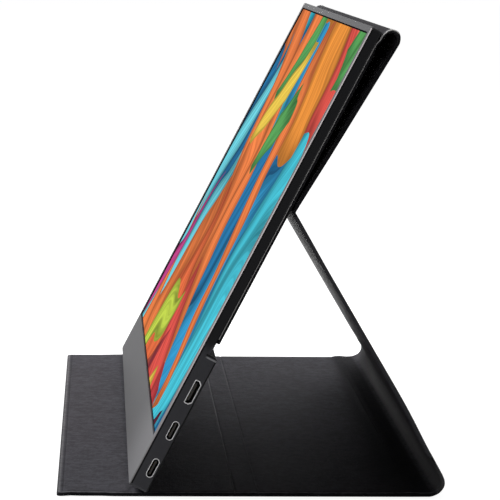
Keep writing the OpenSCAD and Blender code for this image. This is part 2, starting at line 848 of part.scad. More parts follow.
module speaker_wires() {
    y = board_y + 0.6;
    r = 0.45;
    end = speaker_w / 2;
    lane = speaker_up + speaker_h / 2 + 1.5;
    color("#a02020") on_monitor() {
        wire([[-speaker_x + end, lane - 4], [-speaker_x + end + 8, lane], [mainboard_x, lane]], y, r);
        wire([[speaker_x + end, speaker_up], [mainboard_x, speaker_up]], y, r);
    }
}

module housing_screws() {
    base = thick_depth - head_h - head_sink;
    color("#8d9094") on_monitor() for (x = screw_xs) difference() {
        union() {
            pillar(x, screw_up, base, base + head_h, screw_head_r);
            pillar(x, screw_up, bezel_t + 1.4, base + eps, screw_r);
        }
        for (a = [0, 90]) translate([x, base + head_h, screw_up]) rotate([0, a, 0])
            cube([1.8, 0.8, 0.4], center = true);
    }
}

module board_screws() {
    head = 0.3;
    color("#8d9094") on_monitor() for (p = board_screws_at) {
        pillar(p[0], p[1], board_y - head, board_y, board_head_r);
        pillar(p[0], p[1], board_y - eps, board_back + 2, board_screw_r);
    }
}

module steel_plates() {
    color(metal) on_monitor() for (x = magnet_xs) block(
        [x - magnet_len / 2 - plate_margin, thin_floor - plate_t, plate_low],
        [x + magnet_len / 2 + plate_margin, thin_floor, plate_high]
    );
}

// ---------- Controls ----------

module power_button() {
    stem = 1;
    inside = -inner_x + flange_gap;
    color("#2a2b2e") on_monitor() {
        sideways(-side_x - button_proud, inside + eps) pill(button_y, power_up, button_len, button_w);
        sideways(inside, inside + flange_t)
            pill(button_y, power_up, button_len + 2 * flange_w, button_w + 2 * flange_h);
        bar(button_y, power_up, inside + flange_t - eps, inside + flange_t + stem, 0.8);
    }
}

module menu_rocker() {
    low = button_y - button_w / 2;
    high = button_y + button_w / 2;
    color("#2a2b2e") on_monitor() difference() {
        union() {
            sideways(-side_x - button_proud, -inner_x + rocker_depth)
                pill(button_y, rocker_up, rocker_len, button_w);
            pillar(-pin_x, rocker_up, low, high, hub_r);
        }
        pillar(-pin_x, rocker_up, low - 1, high + 1, pin_r + pin_gap);
    }
}

module rocker_pin() {
    color(metal) on_monitor()
        pillar(-pin_x, rocker_up, board_back + 0.1, thick_floor, pin_r);
}

// ---------- Parts ----------

floor_skin();
floor_board();
floor_lining();
rear_spine();
crease_rear();
crease_strip();
crease_front();
flap_skin();
flap_board();
flap_lining();
flap_magnets();
strut_skin();
strut_board();
strut_lining();
mid_fold();
upper_skin();
upper_board();
upper_lining();
top_spine();
back_skin();
back_board();
back_lining();
back_magnets();
rear_cover();
front_bezel();
display_film();
lcd_cell();
optical_sheets();
light_guide();
reflector_sheet();
led_strip();
panel_frame();
driver_board();
driver_flexes();
mainboard();
board_chips();
shield_can();
usb_c_port_upper();
usb_c_port_lower();
mini_hdmi_port();
port_tongues();
headphone_jack();
key_board();
tact_switches();
speaker_left();
speaker_right();
display_cable();
key_cable();
speaker_wires();
housing_screws();
board_screws();
steel_plates();
power_button();
menu_rocker();
rocker_pin();
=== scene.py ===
# %% [markdown]
# # A portable monitor on its folding cover
#
# The object is a thin screen that leans back on one long strip of stiff panels. The strip
# starts as a flap under the screen's foot, runs back over the table, turns up round a soft
# spine, folds twice and ends behind the screen, where magnets hold it.
#
# The finished solids come in first. They stay as they are where metal and plastic have
# their real shape. The cover is soft, so its panels and folds are made anew here, with
# turned edges, pressed lines and grain, and each new piece hides the solids it stands for.

# %% Load the solids
import math

import bmesh
import bpy
import numpy as np
from mathutils import Matrix, Vector, noise


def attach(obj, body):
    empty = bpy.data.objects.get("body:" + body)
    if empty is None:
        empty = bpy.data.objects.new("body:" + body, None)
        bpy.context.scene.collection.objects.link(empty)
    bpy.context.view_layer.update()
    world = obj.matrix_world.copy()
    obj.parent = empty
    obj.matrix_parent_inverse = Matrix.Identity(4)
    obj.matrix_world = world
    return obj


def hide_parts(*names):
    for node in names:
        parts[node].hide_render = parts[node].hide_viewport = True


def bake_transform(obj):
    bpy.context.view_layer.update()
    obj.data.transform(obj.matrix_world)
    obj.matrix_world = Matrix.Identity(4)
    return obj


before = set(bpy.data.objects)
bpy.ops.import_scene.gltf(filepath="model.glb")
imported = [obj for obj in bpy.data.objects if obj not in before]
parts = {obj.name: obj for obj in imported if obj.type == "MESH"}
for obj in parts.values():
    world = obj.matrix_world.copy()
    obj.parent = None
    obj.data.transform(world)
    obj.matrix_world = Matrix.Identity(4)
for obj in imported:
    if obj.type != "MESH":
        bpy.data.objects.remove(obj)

scene = bpy.context.scene
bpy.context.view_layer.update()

# %% [markdown]
# ## Sizes that the cover and the screen share
#
# All lengths are in millimetres until a mesh is made. In the side view, y runs back and z
# runs up. A heading of 0 runs back along the table, and 90 runs up. The numbers could be
# typed in place by place, but then one change would tear the strip. So only lengths and two
# angles are given, and each place follows from the one before it.

# %% Lengths and headings
MM = 0.001


def heading(degrees):
    a = math.radians(degrees)
    return np.array([math.cos(a), math.sin(a)])


def side_point(place):
    """A place in the side view as a point in metres, in the middle of the cover."""
    return (0, place[0] * MM, place[1] * MM)


COVER_HALF, CORNER_R, CREASE_W = 176.5, 2.0, 1.6
PANEL_T, FOLD_T = 1.6, 1.1
FLAP_LEN, CREASE_PITCH, FLOOR_LEN, STRUT_LEN = 76.5, 10.0, 74.2, 130.0
SPINE_R, SPINE_LEAD, MID_LEAD, LOOP_R, LOOP_LEAD = 7.5, 8.2, 1.6, 4.45, 6.3

SCREEN_W, SCREEN_H, CHIN_H = 344.2, 193.6, 23.6
CASE_HALF, THICK_H, THICK_DEPTH, CASE_BEVEL = 178.5, 65.5, 8.7, 0.5
PORT_FACE = CASE_HALF - 0.1
LOOP_UP, BACK_FACE, STEP_GAP = 219.0, 5.0, 5.5

LEAN, STRUT_DIR = 62.95, 120.86
UP, DEEP, BACK_DIR = heading(LEAN), heading(LEAN - 90), LEAN + 180
FOLD_SHIFT, FOOT_GAP = 1.1, 0.3

# %% Places along the strip
FRONT_Y = -(FLAP_LEN + CREASE_PITCH + FLOOR_LEN + SPINE_R) / 2
CREASE_FRONT_Y = FRONT_Y + FLAP_LEN
CREASE_REAR_Y = CREASE_FRONT_Y + CREASE_PITCH
REAR_PIVOT = np.array([CREASE_REAR_Y + FLOOR_LEN, SPINE_R])
STRUT_START = REAR_PIVOT + SPINE_R * heading(STRUT_DIR - 90)
MID_PIVOT = STRUT_START + STRUT_LEN * heading(STRUT_DIR)

# The foot stands as far in front of the mid fold as the rear spine lies behind it.
foot = np.array([2 * (MID_PIVOT[0] - FOLD_SHIFT) - REAR_PIVOT[0], PANEL_T + FOOT_GAP])
MONITOR_AT = foot - (THICK_DEPTH - CASE_BEVEL) * DEEP
TOP_PIVOT = MONITOR_AT + LOOP_UP * UP + (BACK_FACE + LOOP_R) * DEEP

# The upper panel runs from the mid fold and just touches the top spine's circle.
y, z = TOP_PIVOT - MID_PIVOT
UPPER_DIR = math.degrees(math.atan2(z, y) - math.asin(LOOP_R / math.hypot(y, z)))
UPPER_LEN = math.sqrt(y**2 + z**2 - LOOP_R**2)
LOOP_ENDS = [TOP_PIVOT + LOOP_R * heading(way - 90) for way in (UPPER_DIR, BACK_DIR)]
BACK_START = LOOP_ENDS[1] + LOOP_LEAD * heading(BACK_DIR)
BACK_LEN = LOOP_UP - LOOP_LEAD - THICK_H - STEP_GAP
print("mid fold at", MID_PIVOT.round(2), "and the back panel starts at", BACK_START.round(2))

# %% [markdown]
# ## The camera
#
# The camera stands a little over a metre away, level with the side of the screen, and looks
# down by 7 degrees. A long lens keeps the near and the far side almost the same size. It
# could be aimed at a target, but a tilt of less than a degree has to be set as well. So the
# three axes are turned one after another, by yaw, pitch and roll, and set as a matrix.

# %% Camera
YAW, PITCH, ROLL = (math.radians(a) for a in (3.445, 7.147, 0.889))
CAMERA_AT, LENS = (1.23733, -0.06668, 0.24013), 181.70


def linked(name, data):
    """A new object in the scene that holds this data."""
    thing = bpy.data.objects.new(name, data)
    scene.collection.objects.link(thing)
    return thing


def turned(a, b, angle):
    """Two axes turned toward each other's old place."""
    return a * math.cos(angle) - b * math.sin(angle), b * math.cos(angle) + a * math.sin(angle)


ahead = Vector((-math.cos(YAW), math.sin(YAW), 0))
right = Vector((math.sin(YAW), math.cos(YAW), 0))
ahead, above = turned(ahead, Vector((0, 0, 1)), PITCH)
above, right = turned(above, right, ROLL)

camera_data = bpy.data.cameras.new("camera")
camera_data.sensor_width, camera_data.lens = 36, LENS
camera_data.clip_start, camera_data.clip_end = 0.05, 20
camera = linked("camera", camera_data)
axes = Matrix((right, above, -ahead)).transposed().to_4x4()
camera.matrix_world = Matrix.Translation(CAMERA_AT) @ axes
scene.camera = camera
scene.view_settings.view_transform = "Standard"
print("camera looks along", [round(v, 3) for v in ahead])

# %% [markdown]
# ## Helpers for node trees
#
# Every finish below is a small node tree. Nodes could be placed by hand in the editor, but
# written out they can be read, changed and run again. `add` makes a node and fills its
# inputs, each with a plain value or with the output of another node. The short functions
# after it are the few nodes that come back most often.

# %% Node helpers
def fill(tree, node, inputs):
    for key, value in inputs.items():
        if isinstance(value, bpy.types.NodeSocket):
            tree.links.new(value, node.inputs[key])
        else:
            node.inputs[key].default_value = value


def add(tree, kind, inputs=None, **settings):
    node = tree.nodes.new(kind)
    for key, value in settings.items():
        setattr(node, key, value)
    fill(tree, node, inputs or {})
    return node


def calc(tree, operation, a, b=0.0, c=0.0):
    return add(tree, "ShaderNodeMath", {0: a, 1: b, 2: c}, operation=operation).outputs[0]


def times(tree, product, *others):
    for other in others:
        product = calc(tree, "MULTIPLY", product, other)
    return product


def plus(tree, value, factor, rest):
    """value * factor + rest"""
    return calc(tree, "MULTIPLY_ADD", value, factor, rest)


def spread(tree, value, low, high, to_low=0.0, to_high=1.0):
    """Moves a value from one range to another, softly, and holds it at both ends."""
    inputs = {"Value": value, "From Min": low, "From Max": high, "To Min": to_low, "To Max": to_high}
    return add(tree, "ShaderNodeMapRange", inputs, interpolation_type="SMOOTHSTEP").outputs[0]


def band(tree, value, low, full, full_to, high):
    """1 in the middle of a band and 0 outside it, with a soft edge at each side."""
    return times(tree, spread(tree, value, low, full), spread(tree, value, full_to, high, 1.0, 0.0))


# %% Colour helpers
def blend_colours(tree, share, a, b, kind="MIX"):
    """Colour a where share is 0 and colour b where it is 1."""
    return add(tree, "ShaderNodeMix", {0: share, 6: a, 7: b}, data_type="RGBA", blend_type=kind).outputs[2]


def toned(tree, colour, tone):
    return blend_colours(tree, 1.0, colour, tone, "MULTIPLY")


def speckle(tree, place, scale, detail, **more):
    """Noise from 0 to 1. The scale is its number of grains along a metre."""
    inputs = {"Vector": place, "Scale": scale, "Detail": detail, **more}
    return add(tree, "ShaderNodeTexNoise", inputs).outputs["Fac"]


def new_finish(name):
    """An empty material with its output and one Principled shader."""
    material = bpy.data.materials.new(name)
    material.use_nodes = True
    tree = material.node_tree
    tree.nodes.clear()
    shader = add(tree, "ShaderNodeBsdfPrincipled")
    add(tree, "ShaderNodeOutputMaterial", {"Surface": shader.outputs[0]})
    place = add(tree, "ShaderNodeTexCoord").outputs["Object"]
    return material, tree, shader, place


def set_shader(tree, shader, colour, rough, gloss, metal=0.0, relief=None, strength=0.3, deep=0.00002):
    """Colour, roughness, specular level and metal, and a bump from a relief, deep in metres."""
    inputs = {"Base Color": colour, "Roughness": rough, "Specular IOR Level": gloss, "Metallic": metal}
    if relief is not None:
        bump = add(tree, "ShaderNodeBump", {"Height": relief, "Strength": strength, "Distance": deep})
        inputs["Normal"] = bump.outputs[0]
    fill(tree, shader, inputs)


# %% [markdown]
# ## Light
#
# Product pictures are lit with soft boxes. There is a large one above the front, a small one
# at the far side that reaches into the tent between the screen and the strut, a weak one
# behind, and a low one at the near side that shows the ports. A bright room could do the
# same, but it would fill the tent and wash out the black. So the room is dim, and only the
# camera, reflections and glass see it as white.

# %% World and lamps
DIM_ROOM, WHITE_ROOM = (0.014, 0.014, 0.0145, 1), (1, 1, 1, 1)
world = bpy.data.worlds.new("studio")
scene.world = world
world.use_nodes = True
sky = world.node_tree
sky.nodes.clear()
ray = add(sky, "ShaderNodeLightPath")
seen = calc(sky, "MAXIMUM", ray.outputs["Is Camera Ray"], ray.outputs["Is Glossy Ray"])
seen = calc(sky, "MAXIMUM", seen, ray.outputs["Is Transmission Ray"])
room = blend_colours(sky, seen, DIM_ROOM, WHITE_ROOM)
backdrop = add(sky, "ShaderNodeBackground", {"Color": room, "Strength": 1.0})
add(sky, "ShaderNodeOutputWorld", {"Surface": backdrop.outputs[0]})


def softbox(name, place, target, size, watts, beam=180):
    lamp = bpy.data.lights.new(name, "AREA")
    lamp.size, lamp.energy, lamp.spread = size, watts, math.radians(beam)
    box = linked(name, lamp)
    box.location = place
    box.rotation_euler = (Vector(target) - Vector(place)).to_track_quat("-Z", "Y").to_euler()
    box.visible_camera = box.visible_glossy = False


softbox("front_lamp", (-0.1, -1.1, 1.2), (0, -0.03, 0.05), 0.7, 32)
softbox("far_lamp", (-0.5, 0.045, 0.18), (-0.1, 0.035, 0.03), 0.2, 0.6, beam=70)
softbox("near_lamp", (1.5, -0.62, 0.06), (0, -0.03, 0.06), 0.5, 3.1)
softbox("back_lamp", (-0.2, 1.3, 0.9), (0, 0.05, 0.1), 1.0, 10)

# %% [markdown]
# ## Floor
#
# A studio table is a white sheet. A white floor would throw light up into the tent, so this
# one is grey, and only the camera and reflections see it lifted to white, with a faint
# shadow left under the cover.

# %% Floor
FLOOR_HALF, FLOOR_Z = 40_000, -0.2
floor_finish, tree, shader, place = new_finish("pale_floor")
set_shader(tree, shader, (0.3, 0.3, 0.3, 1), 0.9, 0.0)
from_middle = add(tree, "ShaderNodeVectorMath", {0: place}, operation="LENGTH").outputs["Value"]
lift = spread(tree, from_middle, 0.15, 0.5, 0.9, 1.0)
glow = add(tree, "ShaderNodeEmission", {"Color": (1, 1, 1, 1), "Strength": lift})
lifted = add(tree, "ShaderNodeAddShader", {0: shader.outputs[0], 1: glow.outputs[0]})
ray = add(tree, "ShaderNodeLightPath")
shown = calc(tree, "MAXIMUM", ray.outputs["Is Camera Ray"], ray.outputs["Is Glossy Ray"])
sheet = add(tree, "ShaderNodeMixShader", {0: shown, 1: shader.outputs[0], 2: lifted.outputs[0]})
tree.links.new(sheet.outputs[0], tree.nodes["Material Output"].inputs["Surface"])


def mesh_from(name, points, edges=(), faces=()):
    """A mesh from points that are given in millimetres."""
    mesh = bpy.data.meshes.new(name)
    mesh.from_pydata((np.array(points) * MM).tolist(), edges, faces)
    return mesh


corners = [(x * FLOOR_HALF, y * FLOOR_HALF, FLOOR_Z) for x, y in ((-1, -1), (1, -1), (1, 1), (-1, 1))]
floor_mesh = mesh_from("floor", corners, faces=[(0, 1, 2, 3)])
floor_mesh.materials.append(floor_finish)
floor = linked("floor", floor_mesh)
print("floor:", 2 * FLOOR_HALF * MM, "m wide")

# %% [markdown]
# ## Leatherette
#
# The cover's outside is a coated cloth with a pebbled grain. A scanned picture of leather
# would repeat and show seams, so the grain is worked out: small cells give the pebbles, a
# wider noise makes them uneven, and both go into a bump of a fifth of a millimetre. Each
# point of the cover carries two numbers. `edge_mm` is its distance from the edge, so that
# the turned edge can be painted dark as shade and the rim beside it pale, partly as wear and
# partly as a painted highlight. The second number is up to 1 where bending has worn the
# coating and where a painted sheen stands for the gloss of a bend, and below 0 in a hollow,
# which is painted dark as shade.
#
# The outside is almost without gloss. The strut's front face was pressed smoother, and is
# seen along its surface, so it gets a stronger gloss and mirrors the white room as a band.

# %% Leatherette finish
# The pale colour stands for wear and for a painted sheen. The three dark colours are painted shade: in the
# groove of the pressed line, in a hollow, and on the turned edge.
DYE, WEAR_AND_SHEEN = (0.047, 0.0455, 0.052, 1), (0.15, 0.148, 0.153, 1)
GROOVE_SHADE, HOLLOW_SHADE_DARK, EDGE_SHADE = (0.01, 0.01, 0.011, 1), (0.004, 0.004, 0.005, 1), (0.008, 0.008, 0.009, 1)


def carried(tree, name):
    """A number that the points of the mesh carry, read by a finish."""
    return add(tree, "ShaderNodeAttribute", attribute_name=name).outputs["Fac"]


def leather(name, gloss):
    material, tree, shader, place = new_finish(name)
    cells = add(tree, "ShaderNodeTexVoronoi", {"Vector": place, "Scale": 900.0, "Randomness": 0.9})
    pebbles = spread(tree, cells.outputs["Distance"], 0.05, 0.7, 1.0, 0.0)
    uneven = spread(tree, speckle(tree, place, 260.0, 4.0, Roughness=0.7), 0.32, 0.68)
    patches = speckle(tree, place, 26.0, 4.0)
    relief = plus(tree, uneven, 0.7, times(tree, pebbles, 0.3))
    edge, pressed = carried(tree, "edge_mm"), carried(tree, "pressed")
    # The rim beside the turned edge is pale, partly as wear and partly as a painted highlight.
    rim = band(tree, edge, 0.35, 0.7, 1.0, 1.9)
    wear_and_light = calc(tree, "MAXIMUM", times(tree, rim, plus(tree, uneven, 0.45, 0.35)), pressed)
    # Painted shade in the groove of the pressed line.
    groove_shade = times(tree, band(tree, edge, 2.2, 2.6, 2.6, 3.0), 0.4)
    dyed = toned(tree, DYE, plus(tree, patches, 0.3, plus(tree, relief, 0.9, 0.4)))
    dyed = blend_colours(tree, groove_shade, dyed, GROOVE_SHADE)
    # Painted shade in a hollow.
    dyed = blend_colours(tree, spread(tree, pressed, -1.0, 0.0, 0.9, 0.0), dyed, HOLLOW_SHADE_DARK)
    # Painted shade on the turned edge.
    dyed = blend_colours(tree, spread(tree, edge, 0.1, 0.35, 0.6, 0.0), dyed, EDGE_SHADE)
    # Pale wear, and the painted sheen of the bends.
    dyed = blend_colours(tree, wear_and_light, dyed, WEAR_AND_SHEEN)
    rough = plus(tree, relief, 0.2, 0.46)
    set_shader(tree, shader, dyed, rough, gloss, relief=relief, strength=0.7, deep=0.0002)
    return material


LEATHER = leather("black_leatherette", 0.004)
SMOOTH_LEATHER = leather("pressed_smooth_leatherette", 0.18)
print("made", LEATHER.name, "and", SMOOTH_LEATHER.name)

# %% [markdown]
# ## Lining
#
# The inside, which lies against the screen when the cover is shut, is a short-napped cloth.
# Real hairs would be far too many. So a little sheen stands for the nap, which lights up
# where we look along it, and a stretched noise brushes it one way. It has no gloss.

# %% Lining finish
LINING, tree, shader, place = new_finish("napped_lining")
brushed = add(tree, "ShaderNodeMapping", {"Vector": place, "Scale": (1.0, 3.2, 3.2)}).outputs[0]
nap = speckle(tree, brushed, 700.0, 4.0)
tone = plus(tree, nap, 0.5, plus(tree, speckle(tree, brushed, 12.0, 5.0), 0.4, 0.55))
cloth_grey = toned(tree, (0.04, 0.039, 0.042, 1), tone)
set_shader(tree, shader, cloth_grey, 0.92, 0.0, relief=nap, strength=0.5, deep=0.00008)
fill(tree, shader, {"Sheen Weight": 0.12, "Sheen Roughness": 0.45, "Sheen Tint": (0.6, 0.6, 0.62, 1)})
print("made", LINING.name)

# %% [markdown]
# ## The cover's cross-section
#
# Cut across, every stretch of the strip has the same edge: the leatherette is turned round
# the board and glued down inside, so the corners are round, a line is pressed 2.6 mm from
# the edge, and the lining starts 6 mm in, a hair lower. Each piece could be modelled with
# its own edge, but then they would meet with a step. So one function gives the height of
# both faces at any distance from the edge, and every panel and fold uses it.

# %% Edge profile
ROUND_TOP, ROUND_UNDER = 0.5, 0.4
LINE_IN, LINE_W, LINE_DEEP = 2.6, 0.34, 0.16
LINING_IN, LINED_FROM, LINING_DEEP = 6.0, 6.05, 0.14
TURNED = [0, 0.04, 0.12, 0.25, 0.5, 0.9, 1.5, 2.0, 2.25, 2.42, 2.6, 2.78, 2.95, 3.2]
EDGE_STEPS = [*TURNED, 3.8, 4.6, 5.4, 5.9, 6.1, 6.6, 8.0]


def fall(inset, radius):
    """How far a round edge of this radius lies below the face."""
    gap = np.clip(radius - inset, 0, radius)
    return radius - np.sqrt(np.maximum(radius**2 - gap**2, 0))


def soft_step(value, low, high):
    t = np.clip((value - low) / (high - low), 0, 1)
    return t * t * (3 - 2 * t)


def hump(value, middle, width):
    return np.exp(-(((value - middle) / width) ** 2))


def face_heights(inset, thickness):
    """Heights of the lining's face and of the leatherette's face above the lining's side."""
    under = fall(inset, ROUND_UNDER) + LINING_DEEP * soft_step(inset, LINING_IN - 0.1, LINING_IN + 0.1)
    return under, thickness - fall(inset, ROUND_TOP) - LINE_DEEP * hump(inset, LINE_IN, LINE_W)


plain_half = np.linspace(0, COVER_HALF - EDGE_STEPS[-1], 30)[:-1]
half_row = np.concatenate([plain_half, COVER_HALF - np.array(EDGE_STEPS[::-1])])
COLUMNS = np.concatenate([-half_row[:0:-1], half_row])
print(len(COLUMNS), "points across the cover")

# %% [markdown]
# ## Closed sheets
#
# A stretch of the cover is a grid of points that is set twice, once for each face, and
# closed round its rim. A box with a bevel would be quicker, but it has no points where the
# pressed line and the lining's edge run. Here `S` is each point's distance along the
# stretch and `X` its place across.

# %% Closed sheet builder
def set_numbers(mesh, numbers):
    """Numbers that each point of the mesh carries along."""
    for key, values in numbers.items():
        values = np.broadcast_to(values, len(mesh.vertices)).astype(np.float32)
        mesh.attributes.new(key, "FLOAT", "POINT").data.foreach_set("value", values)


def check_faces(mesh, turn_out=True):
    """Turns the faces of a closed mesh outward and prints what it holds."""
    check = bmesh.new()
    check.from_mesh(mesh)
    if turn_out:
        bmesh.ops.recalc_face_normals(check, faces=check.faces)
        check.to_mesh(mesh)
    print(f"{mesh.name}: {len(mesh.polygons)} faces, {check.calc_volume(signed=True) * 1e6:.3f} cm3")
    check.free()


def closed_sheet(name, start, direction, S, X, top, under, inset, pressed, face=LEATHER):
    """The grid at both heights above a line from start that heads in this direction."""
    forward, outward = heading(direction), heading(direction + 90)
    sheets = []
    for height in (top, under):
        y, z = (start[i] + S * forward[i] + height * outward[i] for i in (0, 1))
        sheets.append(np.stack([X, y, z], -1).reshape(-1, 3))
    points = np.concatenate(sheets)
    n = S.size
    at = np.arange(n).reshape(S.shape)
    quads = np.stack([at[:-1, :-1], at[:-1, 1:], at[1:, 1:], at[1:, :-1]], -1).reshape(-1, 4)
    rim = np.concatenate([at[0], at[1:, -1], at[-1, -2::-1], at[-2:0:-1, 0]])
    following = np.roll(rim, -1)
    walls = np.stack([rim, rim + n, following + n, following], -1)
    flat = inset.reshape(-1)
    lined = (flat[quads].min(axis=1) > LINED_FROM).astype(int)
    mesh = mesh_from(name, points, faces=np.concatenate([quads, quads[:, ::-1] + n, walls]).tolist())
    mesh.materials.append(face)
    mesh.materials.append(LINING)
    finish_of_face = np.concatenate([np.zeros(len(quads), int), lined, np.zeros(len(rim), int)])
    mesh.polygons.foreach_set("material_index", finish_of_face)
    mesh.polygons.foreach_set("use_smooth", [True] * len(mesh.polygons))
    wear_and_light = np.concatenate([pressed.reshape(-1), np.zeros(n)])
    set_numbers(mesh, {"edge_mm": np.concatenate([flat, flat]), "pressed": wear_and_light})
    check_faces(mesh)
    return linked(name, mesh)


def wobble(x, y, z):
    """A slow noise between about -1 and 1."""
    return noise.noise(Vector((x, y, z)))


# %% [markdown]
# ## Panels
#
# A panel is a stiff board in its wrapping. Where it ends freely its corners are round and
# its edge is turned. Where it runs into a fold the board ends, so the cover thins to the
# fold's thickness over a soft shoulder. A slow noise stops the faces from looking machined.
# The four functions that a panel may be given bend it, puff its outer face, and mark it with wear and with
# painted light and shade.

# %% Panel builder
FREE_END = [*TURNED, 3.7, 4.3, 5.0, 5.6, 6.2]
JOINED_END = [0, 0.15, 0.35, 0.6, 0.85, 1.1, 1.4, 1.8, 2.4, 3.2, 4.2]
SHOULDER, ROW_PITCH = 1.4, 4.5
UNEVEN, WAVES_ACROSS, WAVES_ALONG, WAVES_SEED = 0.07, 0.045, 0.06, 0.37


def level(S, X):
    return np.zeros_like(S)


def stations_of(length, free):
    """Distances along a panel, close together at its ends."""
    low, high = ([s for s in (FREE_END if r else JOINED_END) if s < length / 2] for r in free)
    first, last = low[-1], length - high[-1]
    middle = np.linspace(first, last, max(2, round((last - first) / ROW_PITCH)) + 1)[1:-1]
    return np.array([*low, *middle, *(length - s for s in high[::-1])])


WHOLE, BETWEEN_FOLDS = (PANEL_T, PANEL_T), (FOLD_T, FOLD_T)


def panel(
    name, start, direction, length, ends=WHOLE, free=(0, 0), lift=level, swell=level, wear_and_light=level, face=LEATHER
):
    """ends: the thickness at each end. free: the corner radius of each free end, or 0."""
    stations = stations_of(length, free)
    S, X = np.meshgrid(stations, COLUMNS, indexing="ij")
    both_ends = (S, length - S)
    shrink = sum(fall(away, radius) for radius, away in zip(free, both_ends) if radius) + np.zeros_like(S)
    keep = COVER_HALF - EDGE_STEPS[-1]
    X = np.where(np.abs(X) <= keep, X * (keep - shrink) / keep, np.sign(X) * (np.abs(X) - shrink))
    side = inset = COVER_HALF - np.abs(X)
    for radius, away in zip(free, both_ends):
        if radius:
            in_corner = (side < radius) & (away < radius)
            corner = radius - np.hypot(radius - side, radius - away)
            inset = np.where(in_corner, corner, np.minimum(inset, away))
    inset = np.maximum(inset, 0)
    thick = np.full_like(S, PANEL_T)
    for end_t, away in zip(ends, both_ends):
        thick = np.minimum(thick, end_t + (PANEL_T - end_t) * soft_step(away, 0, SHOULDER))
    under, top = face_heights(inset, thick)
    calm = soft_step(np.minimum(*both_ends), 1, 7) * soft_step(inset, 3, 9)
    seed = start[1] * WAVES_SEED
    uneven = [[wobble(x * WAVES_ACROSS, s * WAVES_ALONG, seed) for x in row] for row, s in zip(X, stations)]
    top = top + UNEVEN * np.array(uneven) * calm + swell(S, X)
    raised = lift(S, X)
    return closed_sheet(
        name, start, direction, S, X, top + raised, under + raised, inset, wear_and_light(S, X), face
    )


def put_in_place(piece, body, *nodes):
    """Hides the solids that the new piece stands for, and attaches it to the body that carries it."""
    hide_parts(*nodes)
    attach(piece, body)


def put_between(piece, node):
    """For a soft piece: hides the solid that it stands for and bakes its place into its mesh."""
    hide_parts(node)
    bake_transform(piece)


# %% [markdown]
# ## Flap
#
# The flap lies under the screen's foot and has nothing on its front edge but the table, so
# it curls a little. Its far side stands up by less than a millimetre, and its near corner
# ripples where the cover has been gripped. A cloth simulation would bend it as a whole, but
# a board only gives at its edges, so each curl is a smooth hump at a chosen place. The
# magnets inside are the finished solids.

# %% Flap
def flap_lift(S, X):
    far = 0.9 * hump(S, 38, 26) * soft_step(-X, 110, 176)
    corner = 0.35 * soft_step(-X, 150, 178) * soft_step(22 - S, 0, 22)
    ripple = (0.32 * hump(S, 7, 4) + 0.22 * hump(S, 17, 5)) * soft_step(X, 158, 177)
    return far + corner + ripple


flap_size = CREASE_FRONT_Y - CREASE_W / 2 - FRONT_Y
flap = panel("flap", (FRONT_Y, 0), 0, flap_size, free=(CORNER_R, 0), lift=flap_lift)
put_in_place(flap, "front_flap", "flap_skin", "flap_board", "flap_lining")

# %% [markdown]
# ## Creases and the strip between them
#
# Behind the flap come two creases, 10 mm apart, with a narrow stiff strip between them.
# They let the closed cover step over the thick part of the monitor. A crease is a pressed
# line. A bump could draw it, but at a low angle its valley shows, so it is a short closed
# sheet whose thickness dips in the middle.
# The front one has been bent most and is worn pale.

# %% Creases and strip
CREASE_DIP, CREASE_ROWS, WORN_W = 0.22, 17, 0.24


def crease(name, y, wear_and_light):
    """A pressed line across the cover: a short closed block with a valley along its top."""
    stations = np.linspace(-CREASE_W / 2, CREASE_W / 2, CREASE_ROWS)
    S, X = np.meshgrid(stations, COLUMNS, indexing="ij")
    inset = COVER_HALF - np.abs(X)
    dip = CREASE_DIP * np.cos(np.pi * S / CREASE_W) ** 2
    under, top = face_heights(inset, PANEL_T - dip)
    patchy = 0.75 + 0.5 * np.array([wobble(x * 0.08, y, 0) for x in COLUMNS])
    pressed = wear_and_light * patchy * hump(S, 0, WORN_W) * soft_step(inset, 0.5, 4)
    return closed_sheet(name, (y, 0), 0, S, X, top, under, inset, pressed)


for name, node, y, wear_and_light, body_a, body_b in (
    ("front_crease", "crease_front", CREASE_FRONT_Y, 0.95, "front_flap", "crease_panel"),
    ("rear_crease", "crease_rear", CREASE_REAR_Y, 0.35, "crease_panel", "floor_panel"),
):
    half = CREASE_W / 2
    put_between(crease(name, y, wear_and_light), node)

strip_start, strip_size = CREASE_FRONT_Y + CREASE_W / 2, CREASE_PITCH - CREASE_W
narrow = panel("crease_panel", (strip_start, 0), 0, strip_size)
put_in_place(narrow, "crease_panel", "crease_strip")

# %% [markdown]
# ## Floor panel
#
# The floor panel ends where the board stops, just before the soft spine. There the
# leatherette bunches into a low ridge: all of it at the far side, a third of it at the near
# side. The hollow in front of the ridge is dull, painted dark as shade, and wider at the near
# side. The ridge could be a piece of its own, but it is the same skin, so it is a swelling of
# the panel's end, and the spine goes on from the same height and the same painted shade.

# %% Floor panel
HOLLOW_SHADE, RIDGE, RIDGE_W = -0.7, 0.62, 4.5


def far_share(X):
    return 0.3 + 0.7 * soft_step(-X, -120, 150)


def near_share(X):
    return soft_step(X, -150, 170)


# Painted shade: the hollow before the ridge is painted dark, wider at the near side.
def floor_hollow_shade(S, X):
    return HOLLOW_SHADE * soft_step(S, floor_size - 7 - 20 * near_share(X), floor_size)


def floor_swell(S, X):
    return RIDGE * soft_step(S, floor_size - RIDGE_W, floor_size) ** 2 * far_share(X)


floor_start = CREASE_REAR_Y + CREASE_W / 2
floor_size = REAR_PIVOT[0] - SPINE_LEAD - floor_start
floor_panel = panel("floor_panel", (floor_start, 0), 0, floor_size, swell=floor_swell, wear_and_light=floor_hollow_shade)
put_in_place(floor_panel, "floor_panel", "floor_skin", "floor_board", "floor_lining")

